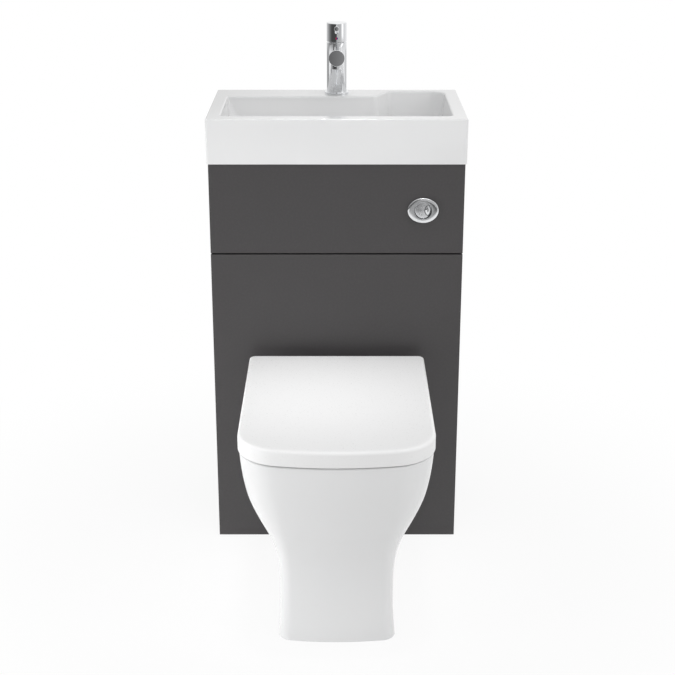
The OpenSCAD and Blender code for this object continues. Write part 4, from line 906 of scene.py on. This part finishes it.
# %% Grown and merged
def grown(name, build, guide=(), **sizes):
    """A Geometry Nodes tree with named sizes, run once over a guide and kept as a plain mesh"""
    tree = bpy.data.node_groups.new(name, "GeometryNodeTree")
    tree.interface.new_socket("Guide", in_out="INPUT", socket_type="NodeSocketGeometry")
    tree.interface.new_socket("Geometry", in_out="OUTPUT", socket_type="NodeSocketGeometry")
    for size in sizes:
        tree.interface.new_socket(size, in_out="INPUT", socket_type="NodeSocketFloat")
    sheet = Sheet(tree)
    group = tree.nodes.new("NodeGroupInput")
    sized = {size: Wire(sheet, group.outputs[size]) for size in sizes}
    shape = build(sheet, Wire(sheet, group.outputs["Guide"]), **sized)
    real = sheet.node("GeometryNodeRealizeInstances", {}, {0: shape})
    done = sheet.node("GeometryNodeSetMaterial", {}, {"Geometry": real, "Material": finishes["steel"]})
    sheet.node("NodeGroupOutput", {}, {0: done})
    mesh = bpy.data.meshes.new(name)
    mesh.from_pydata([Vector(p) * 0.001 for p in guide], [(i, i + 1) for i in range(len(guide) - 1)], [])
    thing = placed(name, mesh)
    run = thing.modifiers.new(name, "NODES")
    run.node_group = tree
    for item in tree.interface.items_tree:
        if item.in_out == "INPUT" and item.name in sizes:
            run[item.identifier] = float(sizes[item.name])
    return finished_mesh(thing, name)


def merged(name, *things):
    """Several things as one mesh"""
    shape = bmesh.new()
    for thing in things:
        shape.from_mesh(thing.data)
        bpy.data.objects.remove(thing)
    mesh = bpy.data.meshes.new(name)
    shape.to_mesh(mesh)
    shape.free()
    smooth(mesh)
    return placed(name, mesh)


print("rules can be grown, and their pieces merged")

# %% [markdown]
# ## The aerator
# The aerator's bright ring is turned, and its insert is a disc with rows of small round
# openings. Points on a mesh circle hold one small cell each, for three circles of
# different size.

# %% Aerator
def perforations(sheet, guide, cell, low):
    join = sheet.node("GeometryNodeJoinGeometry")
    for count, radius in ((6, 2.2), (12, 4.4), (18, 6.8)):
        spots = sheet.node("GeometryNodeMeshCircle", {}, {"Vertices": count, "Radius": radius * 0.001})
        rim = sheet.node("GeometryNodeMeshCylinder", {"fill_type": "NONE"},
                         {"Vertices": 8, "Radius": cell, "Depth": 0.0008}, "Mesh")
        cells = sheet.node("GeometryNodeInstanceOnPoints", {}, {"Points": spots, "Instance": rim})
        sheet.tree.links.new(cells.socket, join.socket.node.inputs[0])
    centre = sheet.node("ShaderNodeCombineXYZ", {}, {"X": 0.0, "Y": outlet_y * 0.001, "Z": low})
    return sheet.node("GeometryNodeTransform", {}, {"Geometry": join, "Translation": centre})


low, sleeve_r = outlet_low, 9.2
sleeve = [(sleeve_r, low + 2.2), (sleeve_r, low), (outlet_r, low), (outlet_r, low + outlet_h),
          (sleeve_r, low + outlet_h)]
sleeve = rounded(sleeve, [0, 0.3, 0.6, 0.2, 0.2], 4)
insert = turned("disc", rectangle(0.4, 9.1, low + 1.6, low + 4), (0, outlet_y), steps=64)
holes = grown("aerator_cells", perforations, cell=0.0007, low=(low + 1.3) * 0.001)
settle(merged("aerator_insert", insert, holes), body="cabinet_and_pan", slot="aerator_steel")
ring = turned("aerator_ring", sleeve, (0, outlet_y), closed=True, steps=64)
settle(ring, "tap_aerator", slot="chrome")

# %% [markdown]
# ## The flush button
# A plated bezel, oval and domed, carries a round plate with a smaller lens let into it:
# the plate gives a full flush, the lens a half one. The bezel is a stack of ovals that
# narrows to a circle.

# %% Bezel
def oval(width, height, y, steps=96):
    return [(button_x + width / 2 * x, y, button_z + height / 2 * z) for x, z in circle(0, 0, 1, steps)]


ovals = [(60.6, 49.9, 0.0), (60.6, 49.9, 3.4), (60.2, 49.6, 4.4), (59.2, 48.9, 5.0), (57.0, 47.4, 5.45),
         (53.5, 45.0, 5.75), (49.5, 42.6, 5.9), (45.0, 40.0, 5.98), (41.0, 37.8, 6.0), (37.0, 35.5, 6.0),
         (34.0, 34.0, 5.98), (33.6, 33.6, 5.4), (33.5, 33.5, 4.8), (33.5, 33.5, -30.0),
         (37.0, 37.0, -30.0), (37.0, 37.0, -0.2), (37.0, 37.0, 0.0)]
bezel = Form()
bezel.loft([oval(w, h, front_y - out) for w, h, out in ovals], looped=True)
settle(bezel.thing("bezel_plated", 40), "button_bezel")

# %% [markdown]
# ## Plate and lens
# Plate and lens are cut from one disc. The plate's window is the lens grown by 0.9 mm,
# so that a dark line stays between them, and each is a body of its own, so each can be
# pressed. A short rod with a foot carries each of them in the housing.

# %% Plate and lens
def lens(grow, y_front, y_back):
    """The lens between two circles, as a domed block"""
    dome = ((4.2, -1.3), (3.0, -1.15), (1.9, -0.8), (1.0, -0.3), (0.4, 0.1), (0.1, 0.5), (0, 0.9))
    form = Form()
    rings = []
    for inset, y in [(inset, y_front + rise) for inset, rise in dome] + [(0, y_back)]:
        a, b = 13.0 + grow - inset, 14.1 + grow - inset
        x = (lens_aside ** 2 + b * b - a * a) / (2 * lens_aside)
        z = math.sqrt(b * b - x * x)
        top, low = math.atan2(z, x - lens_aside), math.atan2(z, x)
        points = around(lens_aside, 0, a, sweep(top, math.tau - top, 24))
        points += around(0, 0, b, sweep(-low, low, 24)[1:-1])
        rings.append([(button_x + px, y, button_z + pz) for px, pz in points])
    form.loft(rings, capped=True)
    return form


def rod(x):
    y0, y1 = front_y + 9, 131.5
    stepped = [(0.4, y0), (3.0, y0), (3.0, y1), (5.0, y1), (5.0, y1 + 6), (0.4, y1 + 6)]
    return turned("rod", stepped, (button_x + x, button_z), "y", 32)


face = [(r, front_y - 3 + 0.3 * (r / 16.3) ** 2) for r in (0.4, 4, 8, 12)]
face += [(15.8, front_y - 2.7), (15.8, front_y + 10), (0.4, front_y + 10)]
face = rounded(face, [0, 0, 0, 0, 0.8, 0.2, 0], 4, closed=False)
full = turned("full_plate", face, (button_x, button_z), "y")
full = carve(full, lens(0.9, front_y - 6, front_y + 12).thing("window"))
settle(merged("full_button_plated", full, rod(-7)), "full_flush_button")
small = lens(0, front_y - 3.5, front_y + 10)
settle(merged("half_button_plated", small.thing("lens"), rod(9.5)), "half_flush_button")

# %% [markdown]
# ## The pan
# The pan stands on a narrow foot and swells towards the rim, where its front is almost as
# wide as the seat. Its plan is the same at every height: a straight back, two straight
# sides and a bowed front with rounded corners. Only width and length change, along one
# smooth curve of height. The bowl is a second stack of plans that shrink to the sump.

# %% A bowed plan
def bowed(width, front, back, bow, corner, back_r, z):
    """A plan with a straight back and a bowed front, lengths run forward from the cabinet"""
    cx = width / 2 - corner
    drop = math.sqrt((bow - corner) ** 2 - cx ** 2)
    meet = math.atan2(drop, cx)
    right = around(width / 2 - back_r, back + back_r, back_r, sweep(-math.pi / 2, 0, 6))
    right += around(cx, front - bow + drop, corner, sweep(0, meet, 14))
    right += around(0, front - bow, bow, sweep(meet, math.pi / 2, 12)[1:])
    left = [(-x, v) for x, v in right[:-1]]
    return [(x, front_y - v, z) for x, v in left + right[::-1]]


def spline(stops):
    """A smooth curve through the stops, for sizes that change with height"""
    def at(x):
        x = min(max(x, stops[0][0]), stops[-1][0])
        k = max(i for i in range(len(stops) - 1) if stops[i][0] <= x)
        (x0, y0), (x1, y1) = stops[k], stops[k + 1]
        before = stops[max(k - 1, 0)]
        after = stops[min(k + 2, len(stops) - 1)]
        m0 = (y1 - before[1]) / (x1 - before[0])
        m1 = (after[1] - y0) / (after[0] - x0)
        t = (x - x0) / (x1 - x0)
        h = x1 - x0
        return ((2 * t ** 3 - 3 * t ** 2 + 1) * y0 + (t ** 3 - 2 * t ** 2 + t) * h * m0
                + (3 * t ** 2 - 2 * t ** 3) * y1 + (t ** 3 - t ** 2) * h * m1)
    return at


pan_h, bowl_deep = 388.0, 260
flare = spline([(0.0, 0), (0.31, 0), (0.39, 0.03), (0.46, 0.10), (0.54, 0.25), (0.62, 0.46),
                (0.70, 0.66), (0.77, 0.80), (0.85, 0.90), (0.93, 0.965), (1, 1)])
bowl_width = spline([(0, 250), (0.15, 244), (0.40, 224), (0.57, 196), (0.72, 162), (0.86, 130),
                     (0.95, 110), (1, 84)])


def pan_plan(z, inset):
    share = flare(z / pan_h)
    splay = max(0.0, 4 * (1 - z / 58.2))
    return bowed(208 + 134 * share + 2 * splay - 2 * inset, 407 + 81 * share + splay - inset,
                 inset, 600 - inset, 26 + 56 * share - inset, 5, z)


def bowl_plan(depth, grow, z=None):
    w = bowl_width(depth)
    lost = 250 - w
    return bowed(w + 2 * grow, 443 - lost + grow, 135 + lost * 0.28 - grow, w * 0.52 + grow,
                 w * 0.36 + grow, w * 0.3 + grow, pan_h - bowl_deep * depth if z is None else z)


print("width at the rim", round(208 + 134 * flare(1)), "at the foot", round(208 + 8))

# %% [markdown]
# ## The casting of the pan
# Seen from below, the inner skin follows the bowl at a wall of 12 mm and then drops to
# the foot. The outer skin climbs from the foot to the rim, where both meet. Two blind
# holes at the back hold the hinge bolts.

# %% Pan
wall, foot_z, hinge_v = 12, 121.0, 45
inner = [bowl_plan(depth, wall, pan_h - bowl_deep * depth - drop)
         for depth, drop in ((1, 12), (0.95, 12), (0.86, 4), (0.72, 4), (0.6, 4))]
inner += [bowl_plan(0.55, wall, 245.0)] + [pan_plan(z, wall) for z in (245.0, 205.0, 165.0, foot_z)]
inner.append([(x, y, 0) for x, y, z in pan_plan(foot_z, wall)])
levels = [1.2, 3.0] + [6 + 12 * i for i in range(31)] + [378, 383]
outer = [pan_plan(0, 1.5)] + [pan_plan(z, 0) for z in levels]
for inset, z in fillet(3, pan_h - 3, 3, 180, 90, 5):
    outer.append([(x, y, z) for x, y, _ in pan_plan(pan_h, inset)])
inward = [bowl_plan(0, inset, z) for inset, z in fillet(6, pan_h - 6, 6, 90, 180, 6)]
inward += [bowl_plan(0.03 + 0.97 * i / 30, 0) for i in range(31)]
pan = Form()
rings = pan.loft(inner + outer)
bowl = pan.loft(inward)
stud_holes = [pan.loft([flat(circle(x, front_y - hinge_v, 5), z) for z in (pan_h, pan_h - 60)])
              for x in (-77.5, 77.5)]
pan.fill(rings[-1], bowl[0], stud_holes[0][0], stud_holes[1][0])
pan.faces += [tuple(bowl[-1]), tuple(rings[0])] + [tuple(hole[-1]) for hole in stud_holes]
pan_thing = pan.thing("pan_glazed", 45)
print("skin of the pan:", len(rings), "rings outside and", len(bowl), "in the bowl")

# %% [markdown]
# ## The trapway
# Behind the bowl the water climbs over a weir and falls to the outlet. That channel is
# a chain of round-ended bars: a thick chain is joined to the casting, a thinner one is
# cut out of it. A short pipe at the back is the spigot that the soil connector grips.

# %% Trapway
def capsule(name, start, end, radius, steps=40):
    """A round-ended bar in the middle plane, between two (forward, height) places"""
    start, end = Vector(start), Vector(end)
    way = (end - start).normalized()
    length = (end - start).length
    dome = [math.radians(a) for a in range(2, 91, 8)]
    line = [(radius * math.sin(a), -radius * math.cos(a)) for a in dome]
    line += [(r, length - h) for r, h in line[::-1]]
    form = Form()
    form.loft([[(r * x, front_y - start.x - way.x * h + r * z * way.y, start.y + way.y * h + r * z * way.x)
                for x, z in circle(0, 0, 1, steps)] for r, h in line], capped=True)
    return form.thing(name)


for radius, first, how in ((47.5, 168, "UNION"), (37.5, 218, "DIFFERENCE")):
    bends = [(first, 168), (150, 168), (115, 222), (60, 180), (46 + radius, 180)]
    for a, b in zip(bends[:3], bends[1:]):
        pan_thing = carve(pan_thing, capsule("trap", a, b, radius), how)
spigot = turned("spigot", rectangle(43.0, 51.0, front_y - 12, 136.5), (0, 180.0), "y", closed=True)
settle(merged("pan_glazed", pan_thing, spigot), "pan")

# %% [markdown]
# ## Seat and lid
# Both are pressed from one hard white plastic. The seat is a ring with a rounded top that
# rolls down into its hole. The lid is a thin cover with a skirt that hides the seat, so
# closed they read as one slab with a seam below. Their hinge knuckles turn on pins in two
# plated posts, and the lid's back wall is notched so that it clears these posts.

# %% Seat
seat_low, seat_top, hinge_z = 391.5, 410.0, 405.5


def seat_outline(inset, z):
    side = 5.5 + inset
    return bowed(346 - 2 * side, 484 - inset, 59 + inset, 600 - side, 82 - side, 6, z)


def seat_hole(grow, z):
    return bowed(220 + 2 * grow, 424 + grow, 150 - grow, 118.8 + grow, 83.6 + grow, 66 + grow, z)


def knuckle(form, x, reach, low, high):
    """A hinge knuckle with its web, on both sides"""
    for side in (-1, 1):
        edges = (side * x, side * (x + 14))
        lathe(form, rounded(rectangle(3.05, 8, *edges), 0.6, 2), (front_y - hinge_v, hinge_z), "x", 48,
              closed=True)
        web = rectangle(front_y - reach, front_y - 52, low, high)
        form.loft([[(e, y, z) for y, z in web] for e in edges], capped=True)


over = fillet(5, seat_top - 5, 5, 180, 90, 6)
roll = [(11, seat_top), (8.5, seat_top - 0.35), (6, seat_top - 1.4), (3.8, seat_top - 3.1),
        (2.1, seat_top - 5.2), (0.8, seat_top - 7.6), (0.1, seat_top - 10), (0, seat_low + 1),
        (1, seat_low)]
side = [(1, seat_low), (0, seat_low + 1)] + over
seat = Form()
seat.loft([seat_outline(inset, z) for inset, z in side] + [seat_hole(grow, z) for grow, z in roll],
          looped=True)
knuckle(seat, 93.5, 66, 398.5, 408.5)
settle(seat.thing("seat_moulded"), "seat_ring")

# %% [markdown]
# ## The lid
# The lid's skirt is drawn from the inside round its lower edge and up over the top,
# where a soft roll of 7 mm ends in a face that rises by a hair towards the middle. Its
# back wall is cut away over the hinges.

# %% Lid
lid_low, lid_under, lid_top = 390.5, 415.0, 420.0


def lid_outline(inset, z):
    corner, back_corner = max(82 - inset, 6), max(12 - inset, 2)
    return bowed(346 - 2 * inset, 490 - inset, 29 + inset, 600 - inset, corner, back_corner, z)


def block(name, x0, x1, y0, y1, z1):
    """A box from under the lid up to a height, for cutting"""
    form = Form()
    form.loft([flat(rectangle(x0, x1, y0, y1), z) for z in (lid_low - 2, z1)], capped=True)
    return form.thing(name)


profile = [(4, lid_under), (4, lid_low + 0.5), (3.5, lid_low), (0.6, lid_low), (0, lid_low + 0.6),
           (0, lid_top - 7), (0.25, lid_top - 5), (0.9, lid_top - 3.3), (2.0, lid_top - 1.9),
           (3.6, lid_top - 0.95), (6, lid_top - 0.45), (10, lid_top - 0.25), (22, lid_top - 0.1),
           (40, lid_top)]
lid = Form()
lid.loft([lid_outline(inset, z) for inset, z in profile], capped=True)
lid_thing = carve(lid.thing("lid_moulded"), block("relief", -300, 300, front_y - 50, front_y - 5, 401.0))
for x0, x1 in ((-97.5, -57.5), (57.5, 97.5)):
    lid_thing = carve(lid_thing, block("notch", x0, x1, front_y - 34, front_y - 27, lid_under))
hinge = Form()
knuckle(hinge, 47.5, 53, 404.0, lid_under + 0.5)
settle(merged("lid_moulded", lid_thing, hinge.thing("knuckles")), "seat_lid")

# %% [markdown]
# ## Posts, pins and buffers
# The posts are die-cast, plated and bolted through the pan's deck. Their base, upright
# and round head are already right in the frame, so they take eased copies, as do the
# rubber buffers that keep plastic off glaze.

# %% Small fittings
for node, width in (("hinge_posts", 0.0006), ("hinge_pins", 0.0003), ("seat_buffers", 0.0006),
                    ("lid_buffers", 0.0006), ("seat_nuts", 0.0004), ("foot_glides", 0.0005),
                    ("corner_blocks", 0.0006), ("waste_body", 0.0006), ("waste_backnut", 0.0006),
                    ("tap_stud", 0.0003), ("tap_stud_nut", 0.0004), ("tap_backing_washer", 0.0004),
                    ("tap_cartridge", 0.0004), ("cartridge_dome", 0.0003), ("cartridge_carrier", 0.0003),
                    ("cartridge_stem", 0.0003), ("trap_cup", 0.001), ("service_valves", 0.0005),
                    ("hot_spindle", 0.0002), ("cold_spindle", 0.0002), ("valve_bracket", 0.0004),
                    ("cistern_tank", 0.0015), ("cistern_lid", 0.0015), ("fill_valve", 0.0006),
                    ("float_arm", 0.0008), ("flush_seal", 0.0006), ("cistern_backnut", 0.0008),
                    ("flush_cone", 0.001), ("button_housing", 0.0006), ("pan_brackets", 0.0004),
                    ("pan_screws", 0.0004), ("pan_connector", 0.0008)):
    eased(node, width)

# %% [markdown]
# ## The plug
# The sprung waste's plug is a shallow turned dish over a plain stem, plated like the tap.

# %% Plug
rest = well_floor + 3.3
low_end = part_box("waste_plug")[0].z * 1000
dished = rounded([(0.4, rest - 62.3), (4, rest - 62), (4, rest), (26.8, rest), (25.2, rest + 4),
                  (18, rest + 3.6), (0.4, rest + 3.2)], [0, 0.5, 0, 0.3, 0.8, 6, 0], 4, closed=False)
plug = turned("plug_plated", [(r, max(h, low_end)) for r, h in dished], (0, waste_y))
settle(plug, "waste_plug")

# %% [markdown]
# ## Hoses that follow a path
# A braided hose is a circle carried along a path with rounded bends. Geometry Nodes do
# that best: the path is filleted, swept, and each corner of each face is told how far
# along and around the hose it lies. The braid finish reads that. The circle is left open
# at its seam until the values are stored, or the pattern would run backwards there.

# %% Hose tree
def stored(sheet, geometry, name, value, kind="FLOAT", domain="POINT"):
    return sheet.node("GeometryNodeStoreNamedAttribute", {"data_type": kind, "domain": domain},
                      {"Geometry": geometry, "Name": name, "Value": value})


def recalled(sheet, name):
    return sheet.node("GeometryNodeInputNamedAttribute", {"data_type": "FLOAT"}, {"Name": name})


def hose_tree(sheet, guide, thickness, bend):
    path = sheet.node("GeometryNodeMeshToCurve", {}, {"Mesh": guide})
    path = sheet.node("GeometryNodeFilletCurve", {"mode": "POLY"},
                      {"Curve": path, "Count": 10, "Radius": bend})
    path = stored(sheet, path, "along", sheet.node("GeometryNodeSplineParameter", output="Length"))
    whole = {"Resolution": 25, "Radius": thickness, "Start Angle": 0.0, "Sweep Angle": math.tau}
    section = sheet.node("GeometryNodeCurveArc", {"mode": "RADIUS"}, whole)
    section = stored(sheet, section, "around", sheet.node("GeometryNodeSplineParameter", output="Factor"))
    swept = sheet.node("GeometryNodeCurveToMesh", {},
                       {"Curve": path, "Profile Curve": section, "Fill Caps": False})
    both = sheet.node("ShaderNodeCombineXYZ", {},
                      {"X": recalled(sheet, "around"), "Y": recalled(sheet, "along"), "Z": 0.0})
    swept = stored(sheet, swept, "braid", both, "FLOAT_VECTOR", "CORNER")
    return sheet.node("GeometryNodeMergeByDistance", {}, {"Geometry": swept, "Distance": 0.00001})


print("a hose needs a guide, a thickness and a bend")

# %% [markdown]
# ## Two hoses with their ferrules
# Each hose leaves its tail under the tap, runs sideways clear of the trap and drops to
# its service valve. A crimped steel ferrule closes the braid at either end.

# %% Hoses
hose_y = 363.5
hose_parts = []
for x, drop, height in ((-9, 186, 757), (9, 214, 778)):
    run = [(x, hose_y, 880), (x, hose_y, height), (drop, hose_y, height), (drop, hose_y, 334)]
    hose_parts.append(grown("hose", hose_tree, guide=run, thickness=0.0058, bend=0.018))
    ends = Form()
    for place, low, high in ((x, 868, 886), (drop, 330, 348)):
        lathe(ends, rounded(rectangle(4, 6, low, high), 0.6, 3), (place, hose_y), closed=True, steps=32)
    hose_parts.append(ends.thing("ferrules"))
    tail = rectangle(3.6, 5, 884, 902)
    hose_parts.append(turned("tail", tail, (x, hose_y), closed=True, steps=32))
settle(merged("braided_hoses", *hose_parts), "tap_hoses")

# %% [markdown]
# ## Grip ribs on the plastic nuts
# Waste fittings are tightened by hand, so their nuts carry a ring of ribs. One rib is
# instanced round a circle, turned by its own angle; count, radius and the rib's size are
# the tree's inputs. The nut's body is drawn a little smaller, so the ribs stay inside the
# nut's outer size.

# %% Ribbed nuts
def rib_tree(sheet, guide, count, radius, length, width):
    whole = sheet.node("FunctionNodeFloatToInt", {}, {0: count})
    spots = sheet.node("GeometryNodeMeshCircle", {}, {"Vertices": whole, "Radius": radius})
    size = sheet.node("ShaderNodeCombineXYZ", {}, {"X": width * 1.5, "Y": width, "Z": length})
    rib = sheet.node("GeometryNodeMeshCube", {}, {"Size": size}, "Mesh")
    number = sheet.node("GeometryNodeInputIndex")
    turn = sheet.node("ShaderNodeCombineXYZ", {}, {"X": 0.0, "Y": 0.0, "Z": number * math.tau / count})
    return sheet.node("GeometryNodeInstanceOnPoints", {},
                      {"Points": spots, "Instance": rib, "Rotation": turn})


def ribbed_nut(name, inner, outside, height, centre, axis, ribs):
    """A nut from centre along its axis, with ribs that reach its outer radius"""
    skin = rounded(rectangle(inner, outside - 1.2, 0, height), [0.2, 1, 1, 0.2], 3)
    grip = grown(name + "_ribs", rib_tree, count=ribs, radius=(outside - 1.25) * 0.001,
                 length=(height - 4) * 0.001, width=0.0016)
    for v in grip.data.vertices:
        v.co.z += height * 0.0005
    nut = merged(name, turned(name, skin, (0, 0), steps=64, closed=True), grip)
    for v in nut.data.vertices:
        x, y, z = v.co
        turned_to = {"z": (x, y, z), "y": (x, z, -y), "-x": (-z, y, x)}[axis]
        v.co = Vector(turned_to) + Vector(centre) * 0.001
    smooth(nut.data)
    return nut


nuts = [ribbed_nut("top_nut", 20.6, 28.5, 20, (0, waste_y, 745), "z", 36),
        ribbed_nut("side_nut", 18.1, 26, 14, (-52, waste_y, 700), "-x", 32)]
settle(merged("trap_nuts_ribbed", *nuts), "trap_nuts")
settle(ribbed_nut("button_nut_ribbed", 19.1, 26, 8, (button_x, 107.5, button_z), "y", 30), "button_nut")
for node, width in (("trap_body", 0.0008), ("waste_pipe", 0.0004), ("air_hoses", 0.0002),
                    ("flush_pipe", 0.0004), ("flush_valve", 0.0006)):
    eased(node, width)

# %% [markdown]
# ## Inside the frame's box
# The dressed object must stay inside the box of the bare one. The last cell loads the json module.

# %% Last cell
import json
